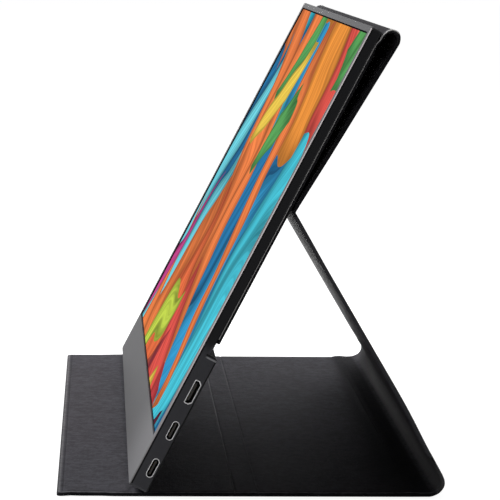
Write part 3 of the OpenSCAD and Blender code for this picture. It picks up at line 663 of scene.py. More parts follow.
# %% [markdown]
# ## Strut, upper panel and back panel
#
# These three are flat boards in their wrapping. The strut bows a little toward the screen
# along its near side, most of all at its lower end, where the spine is squashed. At its far
# side its outer face stands puffed by half a millimetre. The back panel ends freely at the
# bottom, and the screen hangs on its magnets. A lattice could bend the finished boards, but
# a function of the place on the board says it in one line.

# %% Strut, upper panel and back panel
FAR_PUFF = 0.5


def strut_bow(S, X):
    return near_share(X) * (1.2 * hump(S, 0, 17) + 0.3 * soft_step(strut_size - S, 0, 30))


def strut_swell(S, X):
    return FAR_PUFF * (1 - near_share(X)) * soft_step(strut_size - S, 0, 12)


def upper_bow(S, X):
    return -0.22 * soft_step(S, 2, 30)


strut_start = STRUT_START + SPINE_LEAD * heading(STRUT_DIR)
strut_size = STRUT_LEN - SPINE_LEAD - MID_LEAD
strut = panel(
    "strut", strut_start, STRUT_DIR, strut_size, BETWEEN_FOLDS,
    lift=strut_bow, swell=strut_swell, face=SMOOTH_LEATHER,
)
upper_start = MID_PIVOT + MID_LEAD * heading(UPPER_DIR)
upper_size = UPPER_LEN - MID_LEAD - LOOP_LEAD
upper = panel("upper_panel", upper_start, UPPER_DIR, upper_size, BETWEEN_FOLDS, lift=upper_bow)
back = panel("back_panel", BACK_START, BACK_DIR, BACK_LEN, (FOLD_T, PANEL_T), free=(0, CORNER_R / 2))
for piece, stem in ((strut, "strut"), (upper, "upper"), (back, "back")):
    body = "strut" if piece is strut else stem + "_panel"
    put_in_place(piece, body, stem + "_skin", stem + "_board", stem + "_lining")

# %% [markdown]
# ## Soft folds, swept by Geometry Nodes
#
# A fold has no board. Its shape follows a rule: the cover's cross-section, carried along a
# line that runs straight, turns round a spine, and runs straight again. A loop in Python
# could set each point, as the panels do. Curve to Mesh does it in one node, so the tree is
# easier to change. Numbers stored on the section's points and on the line's points travel
# along, so the tree can tell the lining from the leather, and can then push the fold in or
# puff its inner face out, by one amount at the far side and another at the near side.

# %% Tree helpers
def new_tree(name, inputs, output):
    """An empty Geometry Nodes tree, and the outputs of its input node by their labels."""
    tree = bpy.data.node_groups.new(name, "GeometryNodeTree")
    for label, kind in inputs.items():
        tree.interface.new_socket(label, in_out="INPUT", socket_type="NodeSocket" + kind)
    tree.interface.new_socket(output, in_out="OUTPUT", socket_type="NodeSocketGeometry")
    return tree, add(tree, "NodeGroupInput").outputs


def stored(tree, name):
    found = add(tree, "GeometryNodeInputNamedAttribute", {"Name": name}, data_type="FLOAT")
    return found.outputs["Attribute"]


def swept_along(tree, line, section):
    inputs = {"Curve": line, "Profile Curve": section, "Fill Caps": True}
    return add(tree, "GeometryNodeCurveToMesh", inputs).outputs[0]


def realized(tree, geometry, smooth):
    whole = add(tree, "GeometryNodeRealizeInstances", {0: geometry}).outputs[0]
    if not smooth:
        return whole
    return add(tree, "GeometryNodeSetShadeSmooth", {"Geometry": whole, "Shade Smooth": True}).outputs[0]


def painted_with(tree, geometry, material, selection=True):
    inputs = {"Geometry": geometry, "Selection": selection, "Material": material}
    return add(tree, "GeometryNodeSetMaterial", inputs).outputs[0]


def grown(name, tree, base, inputs, turned_out=True):
    """Runs a tree on a base mesh, in metres, and returns the result as a plain mesh object."""
    piece = linked(name, base)
    modifier = piece.modifiers.new("grow", "NODES")
    modifier.node_group = tree
    for item in tree.interface.items_tree:
        if item.in_out == "INPUT" and item.name in inputs:
            modifier[item.identifier] = inputs[item.name]
    made = bpy.data.meshes.new_from_object(piece.evaluated_get(bpy.context.evaluated_depsgraph_get()))
    piece.modifiers.clear()
    piece.data = made
    made.name = name
    check_faces(made, turned_out)
    return piece


# %% Sweep tree: the bare sweep
sweep, given = new_tree("sweep_section_along_fold", {
    "Line": "Geometry", "Section": "Object", "Leather": "Material", "Lining": "Material",
    "Far X": "Float", "Near X": "Float",
}, "Fold")
line = add(sweep, "GeometryNodeMeshToCurve", {"Mesh": given["Line"]}).outputs[0]
held = add(sweep, "GeometryNodeObjectInfo", {"Object": given["Section"]}).outputs["Geometry"]
section = add(sweep, "GeometryNodeMeshToCurve", {"Mesh": held}).outputs[0]
swept = swept_along(sweep, line, section)
print(sweep.name, "has", len(sweep.nodes), "nodes so far")

# %% [markdown]
# The swept fold is then pushed toward the inside of the bend, by the line's own direction
# inward. The paler tone, a painted sheen, grows toward the far side, where the far lamp
# stands, and fades out again at the far edge, while the painted shade of a hollow is left as
# it is.

# %% Sweep tree: pushed and toned
FADE_GROWTH, FADE_MOST = -0.8, 1.5
FAR_EDGE, FAR_FULL, AT_FAR_EDGE = -0.19, -0.06, 0.1
spot = add(sweep, "GeometryNodeInputPosition").outputs[0]
across = add(sweep, "ShaderNodeSeparateXYZ", {0: spot}).outputs["X"]
near = spread(sweep, across, given["Far X"], given["Near X"])
puffs = {0: near, 2: stored(sweep, "puff_far"), 3: stored(sweep, "puff_near")}
puff = add(sweep, "ShaderNodeMix", puffs, data_type="FLOAT").outputs[0]
squashed = times(sweep, near, stored(sweep, "squash"))
moved = calc(sweep, "ADD", squashed, times(sweep, puff, stored(sweep, "on_top")))
inward_axes = {"Y": stored(sweep, "inward_y"), "Z": stored(sweep, "inward_z")}
inward = add(sweep, "ShaderNodeCombineXYZ", inward_axes).outputs[0]
push = add(sweep, "ShaderNodeVectorMath", {0: inward, "Scale": moved}, operation="SCALE").outputs[0]
pushed = add(sweep, "GeometryNodeSetPosition", {"Geometry": swept, "Offset": push}).outputs[0]

# Painted sheen that grows toward the far lamp and fades at the far edge; a hollow's painted shade stays.
tone = stored(sweep, "pressed")
fade_out = spread(sweep, across, FAR_EDGE, FAR_FULL, AT_FAR_EDGE, 1.0)
fade = times(sweep, plus(sweep, near, FADE_GROWTH, FADE_MOST), fade_out)
pale, dark = calc(sweep, "MAXIMUM", tone, 0.0), calc(sweep, "MINIMUM", tone, 0.0)
tone = calc(sweep, "ADD", times(sweep, pale, fade), dark)
kept = {"Geometry": pushed, "Name": "pressed", "Value": tone}
toned_fold = add(sweep, "GeometryNodeStoreNamedAttribute", kept, data_type="FLOAT", domain="POINT").outputs[0]
share = {0: stored(sweep, "is_lining"), 1: 0.9}
is_lining = add(sweep, "FunctionNodeCompare", share, data_type="FLOAT", operation="GREATER_THAN").outputs[0]
outside = painted_with(sweep, realized(sweep, toned_fold, smooth=True), given["Leather"])
add(sweep, "NodeGroupOutput", {0: painted_with(sweep, outside, given["Lining"], is_lining)})
print(sweep.name, "has", len(sweep.nodes), "nodes")

# %% [markdown]
# The section is laid flat as a closed loop: across for x, and its height as minus y, because
# that is how Curve to Mesh sets it up on a line that turns in the side view.

# %% The fold's cross-section
inset = COVER_HALF - np.abs(COLUMNS)
zeros = np.zeros(len(inset))
low, high = face_heights(inset, FOLD_T)
under, top = np.stack([COLUMNS, -low, zeros], -1), np.stack([COLUMNS, -high, zeros], -1)
loop = np.concatenate([under, top[::-1]])
section_mesh = mesh_from("fold_section", loop, [(i, (i + 1) % len(loop)) for i in range(len(loop))])
set_numbers(section_mesh, {
    "edge_mm": np.concatenate([inset, inset[::-1]]),
    "is_lining": np.concatenate([inset > LINED_FROM, zeros]),
    "on_top": np.concatenate([zeros, zeros + 1]),
})
SECTION = linked("fold_section", section_mesh)
print("section:", len(loop), "points")


# %% Lines that the folds follow
FAR_X, NEAR_X = -0.15, 0.17


def bend_path(centre, radius, dir_in, dir_out, lead, steps):
    """Straight, round the spine, straight: the line that the lining's side follows."""
    first, last = centre + radius * heading(dir_in - 90), centre + radius * heading(dir_out - 90)
    path = [first - s * heading(dir_in) for s in np.linspace(lead, 0, 9)[:-1]]
    path += [centre + radius * heading(a) for a in np.linspace(dir_in - 90, dir_out - 90, steps)]
    return np.array(path + [last + s * heading(dir_out) for s in np.linspace(0, lead, 9)[1:]])


def length_along(path):
    return np.concatenate([[0], np.cumsum(np.linalg.norm(np.diff(path, axis=0), axis=1))])


def inward_of(path):
    along = np.gradient(path, axis=0)
    along /= np.linalg.norm(along, axis=1)[:, None]
    return np.stack([-along[:, 1], along[:, 0]], -1)


def by_length(at, amounts):
    """amounts: what happens at a few lengths along the line, with even change in between."""
    return np.interp(at, list(amounts), list(amounts.values()))


def fold(name, path, body_a, body_b, start, end, squash=0.0, puff_near=0.0, puff_far=0.0, pressed=0.0):
    mesh = mesh_from(name, [(0, *place) for place in path], [(i, i + 1) for i in range(len(path) - 1)])
    inward_y, inward_z = inward_of(path).T
    set_numbers(mesh, {
        "inward_y": inward_y, "inward_z": inward_z, "pressed": pressed,
        "squash": squash * MM, "puff_near": puff_near * MM, "puff_far": puff_far * MM,
    })
    inputs = {"Section": SECTION, "Leather": LEATHER, "Lining": LINING, "Far X": FAR_X, "Near X": NEAR_X}
    put_between(grown(name, sweep, mesh, inputs), name)


# %% [markdown]
# ## Rear spine
#
# The rear spine turns the cover up from the table by 121 degrees. At the near side it is
# squashed by up to 1.75 mm. At the far side its inner face stands away from the
# outer one as a soft ramp, because the stiff leatherette doesn't follow so tight a bend.
# Round the bend the leatherette is painted paler, as a painted sheen that stands for its
# gloss there, and the hollow where the spine starts is painted shade. A simulated sheet would
# find a bend of its own, so the lists say what this one does, in millimetres, at a few
# lengths along the line.

# %% Rear spine
rear_path = bend_path(REAR_PIVOT, SPINE_R, 0, STRUT_DIR, SPINE_LEAD, 25)
at = length_along(rear_path)
rear_squash = by_length(at, {
    0: 0, 8.2: 0.05, 10.3: 0.3, 13.4: 0.46, 16.6: 0.65, 17.8: 0.8, 19.7: 1.19, 21.8: 1.65, 24: 1.75,
    32.2: 1.5,
})
rear_puff_far = by_length(at, {
    0: 1.05, 1.6: 1.25, 3.8: 1.02, 5.8: 0.88, 8.2: 0.98, 9.6: 1.08, 12.3: 1.02, 14.8: 0.65, 18.2: 0.35,
    21: 0.38, 25: 0.9, 32.2: FAR_PUFF,
})
rear_puff_near = by_length(at, {0: 0.68, 1.6: 0.72, 4: 0.5, 14: 0.4, 22: 0})
# Painted shade in the hollow at the start, then a painted sheen round the bend.
sheen_and_hollow_shade = by_length(at, {8: HOLLOW_SHADE, 10.8: 0, 12.6: 0.5, 15: 0.85, 20: 1.1, 27: 0.8, 32: 0})
fold(
    "rear_spine", rear_path, "floor_panel", "strut", REAR_PIVOT + [0, 1 - SPINE_R], STRUT_START,
    rear_squash, rear_puff_near, rear_puff_far, sheen_and_hollow_shade,
)

# %% [markdown]
# ## Mid fold and top spine
#
# The small mid fold turns the other way, so its line is drawn from the top down, which keeps
# the section the right way round. The top spine, the loop above the screen, turns by 183
# degrees. It isn't quite round: its rear top stands out by almost a millimetre, and its
# front side stands off the screen's back by as much before it lies flat. The skin is paler
# over its crest.

# %% Mid fold and top spine
BESIDE = (MID_LEAD, 1.1, 0.6, 0.25)
mid_path = [MID_PIVOT + s * heading(UPPER_DIR) for s in BESIDE]
mid_path = np.array(mid_path + [MID_PIVOT - s * heading(STRUT_DIR) for s in BESIDE[::-1]])
fold("mid_fold", mid_path, "strut", "upper_panel", mid_path[-1], mid_path[0])

top_path = bend_path(TOP_PIVOT, LOOP_R, UPPER_DIR, BACK_DIR, LOOP_LEAD, 33)
at = length_along(top_path)
inward = inward_of(top_path)
turn = (at - LOOP_LEAD) / LOOP_R
stand_off = by_length(at, {
    0: -0.22, 14.4: -0.22, 16: 0.2, 16.8: 0.55, 17.8: 0.85, 20.5: 0.85, 22.5: 0.75, 24.2: 0.1, 26.6: 0,
})
top_path = top_path + inward * (stand_off - 0.6 * hump(turn, 1.2, 0.55))[:, None]
crest = 0.45 * hump(turn, 1.75, 0.6)
fold("top_spine", top_path, "upper_panel", "back_panel", *LOOP_ENDS, pressed=crest)
bpy.data.objects.remove(SECTION)

# %% [markdown]
# ## The painted edge highlight
#
# Beside the monitor the cover shows one thin pale line, the light on the cover's rounded
# near edge. It is painted as a pale bead, which stands a little proud. It follows the panel's
# edge, so it is a thin round bead carried along that line, one at each side, by a second
# small tree.

# %% Edge bead tree
EDGE_HIGHLIGHT, tree, shader, place = new_finish("painted_edge_highlight")
# The bead is a painted highlight: near-white, for the light along the cover's rounded near edge.
highlight_grain = speckle(tree, place, 900.0, 3.0)
set_shader(tree, shader, blend_colours(tree, highlight_grain, (0.8, 0.79, 0.78, 1), (0.97, 0.96, 0.94, 1)), 0.7, 0.1)

bead_inputs = {"Lines": "Geometry", "Radius": "Float", "Finish": "Material"}
bead, given = new_tree("bead_along_edge", bead_inputs, "Bead")
lines = add(bead, "GeometryNodeMeshToCurve", {"Mesh": given["Lines"]}).outputs[0]
ring = add(bead, "GeometryNodeCurvePrimitiveCircle", {"Resolution": 8, "Radius": given["Radius"]}).outputs[0]
tube = realized(bead, swept_along(bead, lines, ring), smooth=True)
add(bead, "NodeGroupOutput", {0: painted_with(bead, tube, given["Finish"])})
print("made", EDGE_HIGHLIGHT.name, "and", bead.name)

# %% Edge beads
BEAD_R, BEAD_IN, ABOVE_LINING, ROUND_PART = 0.26, 0.1, 0.25, 15.5


def edge_bead(name, path):
    """A bead along the same line at both sides of the cover, a little proud of its edge."""
    n = len(path)
    points = [(side * (COVER_HALF - BEAD_IN), *place) for side in (-1, 1) for place in path]
    edges = [(first + i, first + i + 1) for first in (0, n) for i in range(n - 1)]
    mesh = mesh_from(name, points, edges)
    piece = grown(name, bead, mesh, {"Radius": BEAD_R * MM, "Finish": EDGE_HIGHLIGHT})
    return piece


back_line = np.linspace(0, BACK_LEN - CORNER_R, 12)[:, None] * heading(BACK_DIR)
back_line = BACK_START + back_line + ABOVE_LINING * heading(BACK_DIR + 90)
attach(edge_bead("back_panel_edge", back_line), "back_panel")

round_top = at > at[-1] - ROUND_PART
loop_bead = edge_bead("top_spine_edge", top_path[round_top] + ABOVE_LINING * inward[round_top])
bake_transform(loop_bead)

# %% [markdown]
# ## The case
#
# The rear shell is dark metal with a fine bead blast. Its thick foot is a shade lighter than
# the thin part above. Its rear rim and the top of its step are painted black as shade, a
# patch of the thin part's rear rim just above the step keeps the foot's lighter tone as a
# painted highlight, and a pale stripe under the step's top edge is a painted highlight on
# its small chamfer. Each of these could be a piece of its own, but the real shell is one
# moulding. So the finish reads where a point lies on the screen: across, up and deep, in
# millimetres, and each line is a band on one of these.

# %% Place on the screen
def on_screen(tree, place):
    """Across, up and deep from the screen's lower front corner line, in millimetres."""
    measures = [add(tree, "ShaderNodeSeparateXYZ", {0: place}).outputs["X"]]
    for axis in (UP, DEEP):
        flat = add(tree, "ShaderNodeVectorMath", {0: place, 1: (0, *axis)}, operation="DOT_PRODUCT")
        measures.append(calc(tree, "SUBTRACT", flat.outputs["Value"], float(MONITOR_AT @ axis) * MM))
    return [times(tree, m, 1 / MM) for m in measures]


# %% Rear shell
FOOT_METAL, THIN_METAL = (0.08, 0.08, 0.089, 1), (0.009, 0.009, 0.0105, 1)
SHADE_BLACK, CHAMFER_HIGHLIGHT = (0.004, 0.004, 0.004, 1), (0.5, 0.5, 0.52, 1)
SHELL, tree, shader, place = new_finish("dark_blasted_shell")
across, up, deep = on_screen(tree, place)
blast, cloud = speckle(tree, place, 5200.0, 2.0), speckle(tree, place, 30.0, 3.0)

# The thin part darkens above the step, but near the step its rear rim keeps the foot's lighter tone as a
# painted highlight.
above_step = spread(tree, up, THICK_H - 2, THICK_H + 6)
heel_highlight = times(tree, spread(tree, up, THICK_H + 3.5, THICK_H + 5.5, 1.0, 0.0), spread(tree, deep, 3.2, 4.4))
thin = times(tree, above_step, calc(tree, "SUBTRACT", 1.0, heel_highlight))
metal = blend_colours(tree, thin, FOOT_METAL, THIN_METAL)
metal = toned(tree, metal, plus(tree, blast, 0.35, plus(tree, cloud, 0.3, 0.67)))

# Painted shade: the step's top and the foot's rear rim are painted black.
foot = calc(tree, "LESS_THAN", up, THICK_H + 0.1)
step_top = times(tree, spread(tree, up, THICK_H - 0.9, THICK_H - 0.6), spread(tree, deep, 3.0, 3.8))
rear_rim = spread(tree, deep, THICK_DEPTH - 0.75, THICK_DEPTH - 0.5)
painted_shade = times(tree, calc(tree, "MAXIMUM", step_top, rear_rim), foot)
metal = blend_colours(tree, painted_shade, metal, SHADE_BLACK)

# A painted highlight on the step's small chamfer: a pale stripe on the two side faces only.
on_side = calc(tree, "GREATER_THAN", calc(tree, "ABSOLUTE", across), CASE_HALF - 0.4)
chamfer_stripe = band(tree, up, THICK_H - 1.8, THICK_H - 1.6, THICK_H - 1.1, THICK_H - 0.9)
metal = blend_colours(tree, times(tree, chamfer_stripe, on_side, spread(tree, deep, 3.2, 4.6)), metal, CHAMFER_HIGHLIGHT)
set_shader(tree, shader, metal, plus(tree, cloud, 0.14, 0.4), 0.1, relief=blast)
print("made", SHELL.name)

# %% [markdown]
# ## The front frame
#
# The frame round the picture is a matte grey with a cut bevel of pale metal along both sides, which is
# painted brighter higher up as a painted highlight.
# It is one solid, and cutting the bevel off as a second piece would leave a seam. So the
# bevel is found by its direction: its normal stands halfway between the front and the side.
# Its grey is painted lighter and darker across the face as painted light and shade: lighter toward the near
# end low down, and toward the far end higher up.

# %% Front frame with its bright bevel
BEZEL_GREY, SIDE_GREY = (0.066, 0.0655, 0.069, 1), (0.012, 0.012, 0.013, 1)
BEVEL_DULL, BEVEL_METAL_AND_HIGHLIGHT = (0.15, 0.147, 0.15, 1), (0.5, 0.46, 0.47, 1)
HALFWAY = 0.7071
BEZEL, tree, shader, place = new_finish("grey_frame")
across, up, deep = on_screen(tree, place)
grain, mottle = speckle(tree, place, 3800.0, 2.0), speckle(tree, place, 18.0, 3.0)
# Painted light and shade: lighter toward the near end low down, and toward the far end higher up.
painted_light_low = spread(tree, across, 60, CASE_HALF, 0.9, 1.8)
painted_light_high = spread(tree, across, -CASE_HALF, CASE_HALF, 1.35, 1.0)
height = spread(tree, up, CHIN_H, CHIN_H + 120)
below = times(tree, calc(tree, "SUBTRACT", 1.0, height), painted_light_low)
painted_light = calc(tree, "ADD", times(tree, height, painted_light_high), below)
tone = times(tree, plus(tree, grain, 0.16, plus(tree, mottle, 0.1, 0.87)), painted_light)
paint = toned(tree, BEZEL_GREY, tone)

normal = add(tree, "ShaderNodeTexCoord").outputs["Normal"]
front = {0: normal, 1: (0, -DEEP[0], -DEEP[1])}
facing = add(tree, "ShaderNodeVectorMath", front, operation="DOT_PRODUCT").outputs["Value"]
sideways = calc(tree, "ABSOLUTE", add(tree, "ShaderNodeSeparateXYZ", {0: normal}).outputs["X"])
bevel = times(tree, calc(tree, "COMPARE", facing, HALFWAY, 0.12), calc(tree, "GREATER_THAN", sideways, 0.5))
# The bevel is painted brighter higher up, as a painted highlight on its pale metal.
bright = blend_colours(tree, spread(tree, up, 0, 80), BEVEL_DULL, BEVEL_METAL_AND_HIGHLIGHT)
paint = blend_colours(tree, calc(tree, "GREATER_THAN", sideways, 0.9), paint, SIDE_GREY)
paint = blend_colours(tree, bevel, paint, bright)
rough, metal = plus(tree, bevel, -0.15, 0.52), times(tree, bevel, 0.6)
set_shader(tree, shader, paint, rough, 0.05, metal, relief=grain, strength=0.25)
print("made", BEZEL.name)

# %% [markdown]
# ## The picture
#
# The screen is lit, so its film carries an emission colour. A photograph on the screen would
# need an image file, and it would be somebody's. So the picture is an abstract one of our
# own: broad ribbons of paint that lean and cross. Each ribbon is one stretched Voronoi cell
# with a colour of its own from a short palette. Streaks along it give the bristle marks, and
# a slow noise bends the whole plane first.

# %% Ribbons
FILM, tree, shader, place = new_finish("lit_picture")
across, up, deep = on_screen(tree, place)
decimetres = {"X": times(tree, across, 0.01), "Y": times(tree, up, 0.01)}
plane = add(tree, "ShaderNodeCombineXYZ", decimetres).outputs[0]
warp = add(tree, "ShaderNodeTexNoise", {"Vector": plane, "Scale": 0.8, "Detail": 1.5}).outputs["Color"]
warp = add(tree, "ShaderNodeVectorMath", {0: warp, 1: (0.5, 0.5, 0.5)}, operation="SUBTRACT").outputs[0]
bent = {0: warp, 1: (1.4, 1.2, 0), 2: plane}
bent = add(tree, "ShaderNodeVectorMath", bent, operation="MULTIPLY_ADD").outputs[0]


def laid_along(turn, length, width, seed):
    """The picture's plane turned and stretched, so that a cell of size 1 becomes a ribbon."""
    laid = {"Vector": bent, "Location": (seed, seed * 0.7, 0), "Scale": (length, width, 1)}
    laid["Rotation"] = (0, 0, math.radians(turn))
    return add(tree, "ShaderNodeMapping", laid, vector_type="TEXTURE").outputs[0]


def flat_noise(vector, scale, detail):
    inputs = {"Vector": vector, "Scale": scale, "Detail": detail}
    return add(tree, "ShaderNodeTexNoise", inputs, noise_dimensions="2D").outputs["Fac"]


def ribbons(turn, length, width, seed):
    """Ribbons: their random value, their place, their closeness to an edge, their streaks."""
    laid = {"Vector": laid_along(turn, length, width, seed), "Scale": 1.0}
    cells = add(tree, "ShaderNodeTexVoronoi", laid, voronoi_dimensions="2D").outputs
    rim = add(tree, "ShaderNodeTexVoronoi", laid, voronoi_dimensions="2D", feature="DISTANCE_TO_EDGE")
    streak = flat_noise(laid_along(turn, 0.9, 0.035, seed), 1.0, 4.0)
    value = add(tree, "ShaderNodeSeparateColor", {0: cells["Color"]}).outputs[0]
    return value, cells["Position"], rim.outputs["Distance"], streak


# %% Palettes
def paint_of(*written):
    """A colour written as 0 to 255 on a screen, as the light that it stands for."""
    return tuple((c / 255 / 12.92) if c < 11 else ((c / 255 + 0.055) / 1.055) ** 2.4 for c in written)


def palette(value, colours):
    ramp = add(tree, "ShaderNodeValToRGB", {0: value})
    ramp.color_ramp.interpolation = "CONSTANT"
    while len(ramp.color_ramp.elements) < len(colours):
        ramp.color_ramp.elements.new(0.5)
    for i, (stop, colour) in enumerate(zip(ramp.color_ramp.elements, colours)):
        stop.position = i / len(colours)
        stop.color = (*paint_of(*colour), 1)
    return ramp.outputs[0]


COOL = [(50, 150, 200), (70, 195, 215), (35, 115, 165), (110, 210, 225), (45, 165, 185), (70, 180, 225)]
WARM = [(225, 85, 75), (240, 150, 60), (205, 60, 80), (230, 110, 65), (215, 70, 75), (240, 130, 70)]
SPARK = [(190, 210, 75), (100, 35, 60), (240, 205, 80), (190, 65, 135), (90, 165, 90)]
print(len(COOL), "cool colours,", len(WARM), "warm ones and", len(SPARK), "sparks")

# %% [markdown]
# Three layers lie on one another. Cool ribbons cover the whole screen. A warm ribbon shows
# where its own place falls in a warm zone, so it shows whole and isn't cut by the zone's
# edge. A few bright slivers lie on top, picked by a finer digit of their random value.

# %% Picture film
ZONE_AT, ZONE_SHARE, SLIVERS_FROM = 0.64, 0.3, 0.7


def everywhere(value, spot):
    return 1.0


def in_warm_zone(value, spot):
    return calc(tree, "GREATER_THAN", plus(tree, value, ZONE_SHARE, flat_noise(spot, 0.45, 0.5)), ZONE_AT)


def now_and_then(value, spot):
    finer_digit = calc(tree, "FRACT", times(tree, value, 7.0))
    return spread(tree, finer_digit, SLIVERS_FROM, SLIVERS_FROM + 0.02)


painted = (0, 0, 0, 1)
for turn, length, width, seed, colours, where in (
    (58, 1.5, 0.5, 3.1, COOL, everywhere),
    (118, 1.3, 0.42, 6.6, WARM, in_warm_zone),
    (44, 0.8, 0.27, 5.7, SPARK, now_and_then),
):
    value, spot, rim, streak = ribbons(turn, length, width, seed)
    shade = times(tree, spread(tree, streak, 0.25, 0.75, 0.72, 1.2), spread(tree, rim, 0.0, 0.25, 0.5, 1.0))
    ribbon = toned(tree, palette(value, colours), shade)
    painted = blend_colours(tree, where(value, spot), painted, ribbon)

beside = calc(tree, "LESS_THAN", calc(tree, "ABSOLUTE", across), SCREEN_W / 2)
above, under = calc(tree, "GREATER_THAN", up, CHIN_H), calc(tree, "LESS_THAN", up, CHIN_H + SCREEN_H)
picture = blend_colours(tree, times(tree, beside, above, under), (0, 0, 0, 1), painted)
set_shader(tree, shader, (0.006, 0.006, 0.007, 1), 0.45, 0.0)
fill(tree, shader, {"Emission Color": picture, "Emission Strength": 1.0})
print("picture:", SCREEN_W, "x", SCREEN_H, "mm")

# %% [markdown]
# ## Metals, plastics and boards
#
# The rest of the parts share a few plain finishes. One flat colour would look like a toy, so
# each has a fine noise in its colour, its roughness and its bump, at the scale of the real
# surface. A stretched noise stands for brushing or rolling marks.

# %% Plain finishes
def plain(name, colour, rough, metal=0.0, gloss=0.5, grain=900.0, deep=0.00002, vary=0.25, stretch=(1, 1, 1)):
    material, tree, shader, place = new_finish(name)
    laid = add(tree, "ShaderNodeMapping", {"Vector": place, "Scale": stretch}).outputs[0]
    fine = speckle(tree, laid, grain, 3.0)
    tinted = toned(tree, (*colour, 1), plus(tree, fine, vary, 1 - vary / 2))
    uneven = plus(tree, fine, 0.12, rough - 0.06)
    set_shader(tree, shader, tinted, uneven, gloss, metal, relief=fine, deep=deep)
    return material


STEEL = plain("brushed_steel", (0.5, 0.5, 0.51), 0.35, 1.0, stretch=(1, 9, 9))
GOLD = plain("gold_contact", (0.28, 0.19, 0.08), 0.45, 0.6, grain=4000.0)
TONGUE = plain("black_moulded_plastic", (0.012, 0.012, 0.013), 0.5, gloss=0.3)
BUTTON = plain("satin_black_plastic", (0.018, 0.018, 0.02), 0.42, gloss=0.4, grain=2600.0)
GREEN = plain("green_solder_mask", (0.012, 0.11, 0.05), 0.32, grain=350.0)
AMBER = plain("amber_flex", (0.38, 0.19, 0.04), 0.35, grain=300.0)
GLASS = plain("dark_display_glass", (0.02, 0.024, 0.03), 0.12, grain=200.0, deep=0.000002)
WHITE = plain("white_optical_film", (0.75, 0.77, 0.78), 0.3, grain=60.0, deep=0.000005, vary=0.06)
TIN = plain("sheet_metal", (0.6, 0.6, 0.62), 0.4, 1.0, grain=700.0, stretch=(1, 12, 1))
print("made", STEEL.name, "and eight more")

# %% [markdown]
# A port's shell is painted bright only on its rim and dark inside, as painted shade, because the light hardly
# reaches down inside it.

# %% Port shells
NICKEL, tree, shader, place = new_finish("nickel_shell")
outward = calc(tree, "ABSOLUTE", add(tree, "ShaderNodeSeparateXYZ", {0: place}).outputs["X"])
rim = spread(tree, outward, (PORT_FACE - 0.15) * MM, (PORT_FACE - 0.05) * MM)
scuffs = speckle(tree, place, 2500.0, 3.0)
bright = blend_colours(tree, scuffs, (0.75, 0.74, 0.75, 1), (0.95, 0.94, 0.95, 1))
shell_with_painted_shade = blend_colours(tree, rim, (0.02, 0.02, 0.022, 1), bright)
set_shader(tree, shader, shell_with_painted_shade, plus(tree, scuffs, 0.15, 0.35), 0.1, times(tree, rim, 0.3))
print("made", NICKEL.name)

# %% Finishes onto the solids
FINISH_OF = {
    SHELL: ["rear_cover"],
    BEZEL: ["front_bezel"],
    FILM: ["display_film"],
    GLASS: ["lcd_cell"],
    WHITE: ["optical_sheets", "light_guide", "reflector_sheet", "led_strip"],
    TIN: ["panel_frame", "shield_can"],
    NICKEL: ["usb_c_port_upper", "usb_c_port_lower", "mini_hdmi_port"],
    TONGUE: [
        "port_tongues", "headphone_jack", "board_chips", "speaker_left", "speaker_right", "tact_switches",
    ],
    GREEN: ["driver_board", "mainboard", "key_board"],
    AMBER: ["driver_flexes", "display_cable", "key_cable", "speaker_wires"],
    STEEL: ["flap_magnets", "back_magnets", "housing_screws", "board_screws", "steel_plates", "rocker_pin"],
    BUTTON: ["power_button", "menu_rocker"],
}
for material, names in FINISH_OF.items():
    for name in names:
        parts[name].data.materials.clear()
        parts[name].data.materials.append(material)
print("dressed", sum(map(len, FINISH_OF.values())), "solids")

# %% [markdown]
# ## Contacts in the ports
#
# Each socket has a thin tongue with rows of gold contacts, half a millimetre apart, or three
# quarters in the wider one. They repeat, so a tree makes one row and sets a copy on each
# point it is given; copies made by hand would have to be moved again with every change. The
# rows are made in the monitor's own frame, with x across, y into the screen and z up it, and
# then turned to the lean and moved into place.

# %% Helpers for what sits in the monitor
IN_MONITOR = {"Lean": (math.radians(LEAN - 90), 0, 0), "Place": side_point(MONITOR_AT)}
MONITOR_INPUTS = {"Lean": "Rotation", "Place": "Vector", "Finish": "Material"}


def copies(tree, points, piece):
    return add(tree, "GeometryNodeInstanceOnPoints", {"Points": points, "Instance": piece}).outputs[0]


def close_in_monitor(tree, given, geometry):
    """Turns what a tree has made to the lean, moves it to the monitor and gives its finish."""
    inputs = {"Geometry": geometry, "Translation": given["Place"], "Rotation": given["Lean"]}
    whole = realized(tree, add(tree, "GeometryNodeTransform", inputs).outputs[0], smooth=False)
    add(tree, "NodeGroupOutput", {0: painted_with(tree, whole, given["Finish"])})
    print(tree.name, "has", len(tree.nodes), "nodes")


# %% Contact rows
rows_tree, given = new_tree("rows_of_contacts", {
    "Rows": "Geometry", "Contacts": "Int", "Pitch": "Float", "Contact Size": "Vector", **MONITOR_INPUTS,
}, "Contacts Out")
step = add(rows_tree, "ShaderNodeCombineXYZ", {"Z": given["Pitch"]}).outputs[0]
half = times(rows_tree, calc(rows_tree, "SUBTRACT", given["Contacts"], 1.0), -0.5)
first = add(rows_tree, "ShaderNodeVectorMath", {0: step, "Scale": half}, operation="SCALE").outputs[0]
row_of = {"Count": given["Contacts"], "Start Location": first, "Offset": step}
spots = add(rows_tree, "GeometryNodeMeshLine", row_of).outputs[0]
blade = add(rows_tree, "GeometryNodeMeshCube", {"Size": given["Contact Size"]}).outputs[0]
close_in_monitor(rows_tree, given, copies(rows_tree, given["Rows"], copies(rows_tree, spots, blade)))

# %% Contacts
CONTACT_X, CONTACT_LONG, CONTACT_THIN, OFF_MIDDLE = PORT_FACE - 2.6, 2.8, 0.08, 0.36
USB_Y, USB_UP, HDMI_Y, HDMI_UP = 5.9, (11.1, 29.3), 5.55, 48.0


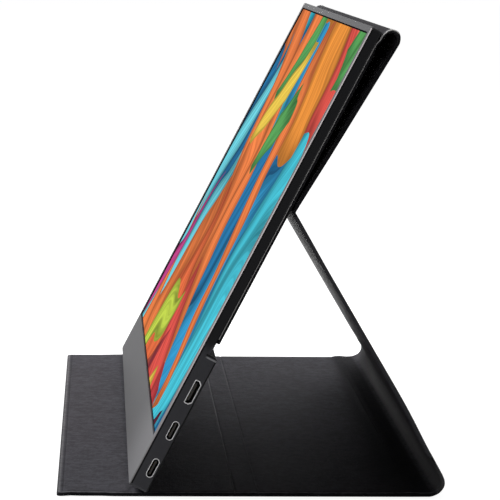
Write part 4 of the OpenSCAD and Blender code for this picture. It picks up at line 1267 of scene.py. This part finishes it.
def contacts(name, middles, count, pitch, width):
    """middles: y and up of each tongue's middle; a row lies on each of its two faces."""
    centres = [(CONTACT_X, y + s * OFF_MIDDLE, up) for y, up in middles for s in (-1, 1)]
    made = grown(name, rows_tree, mesh_from(name, centres), {
        "Contacts": count, "Pitch": pitch * MM, "Finish": GOLD, **IN_MONITOR,
        "Contact Size": (CONTACT_LONG * MM, CONTACT_THIN * MM, width * MM),
    })
    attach(made, "monitor")


contacts("usb_contacts", [(USB_Y, up) for up in USB_UP], 12, 0.5, 0.28)
contacts("hdmi_contacts", [(HDMI_Y, HDMI_UP)], 10, 0.75, 0.4)

# %% [markdown]
# ## Cloth behind the speaker slots
#
# Nine slots open over each speaker at the back. A fine woven screen lies behind them. A
# picture of a weave would be flat, and the slots are looked into at an angle. So a grid's
# edges become curves and the curves become thin wires.

# %% Speaker cloth
cloth, given = new_tree("wire_cloth", {
    "Spots": "Geometry", "Width": "Float", "Height": "Float", "Mesh Size": "Float", "Wire": "Float",
    **MONITOR_INPUTS,
}, "Cloth")
laid = {"Size X": given["Width"], "Size Y": given["Height"]}
for axis in "XY":
    laid[f"Vertices {axis}"] = calc(cloth, "DIVIDE", laid[f"Size {axis}"], given["Mesh Size"])
grid = add(cloth, "GeometryNodeMeshGrid", laid).outputs[0]
threads = add(cloth, "GeometryNodeMeshToCurve", {"Mesh": grid}).outputs[0]
circle = {"Resolution": 4, "Radius": given["Wire"]}
round_wire = add(cloth, "GeometryNodeCurvePrimitiveCircle", circle).outputs[0]
stood = {"Geometry": swept_along(cloth, threads, round_wire), "Rotation": (math.radians(90), 0, 0)}
stood = add(cloth, "GeometryNodeTransform", stood).outputs[0]
close_in_monitor(cloth, given, copies(cloth, given["Spots"], stood))

SPEAKER_X, CLOTH_Y, SPEAKER_UP = 72, 7.6, 14
behind_slots = mesh_from("speaker_cloth", [(side * SPEAKER_X, CLOTH_Y, SPEAKER_UP) for side in (-1, 1)])
speaker_cloth = grown("speaker_cloth", cloth, behind_slots, {
    "Width": 22.4 * MM, "Height": 8.4 * MM, "Mesh Size": 0.7 * MM, "Wire": 0.07 * MM,
    "Finish": TONGUE, **IN_MONITOR,
}, turned_out=False)
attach(speaker_cloth, "monitor")
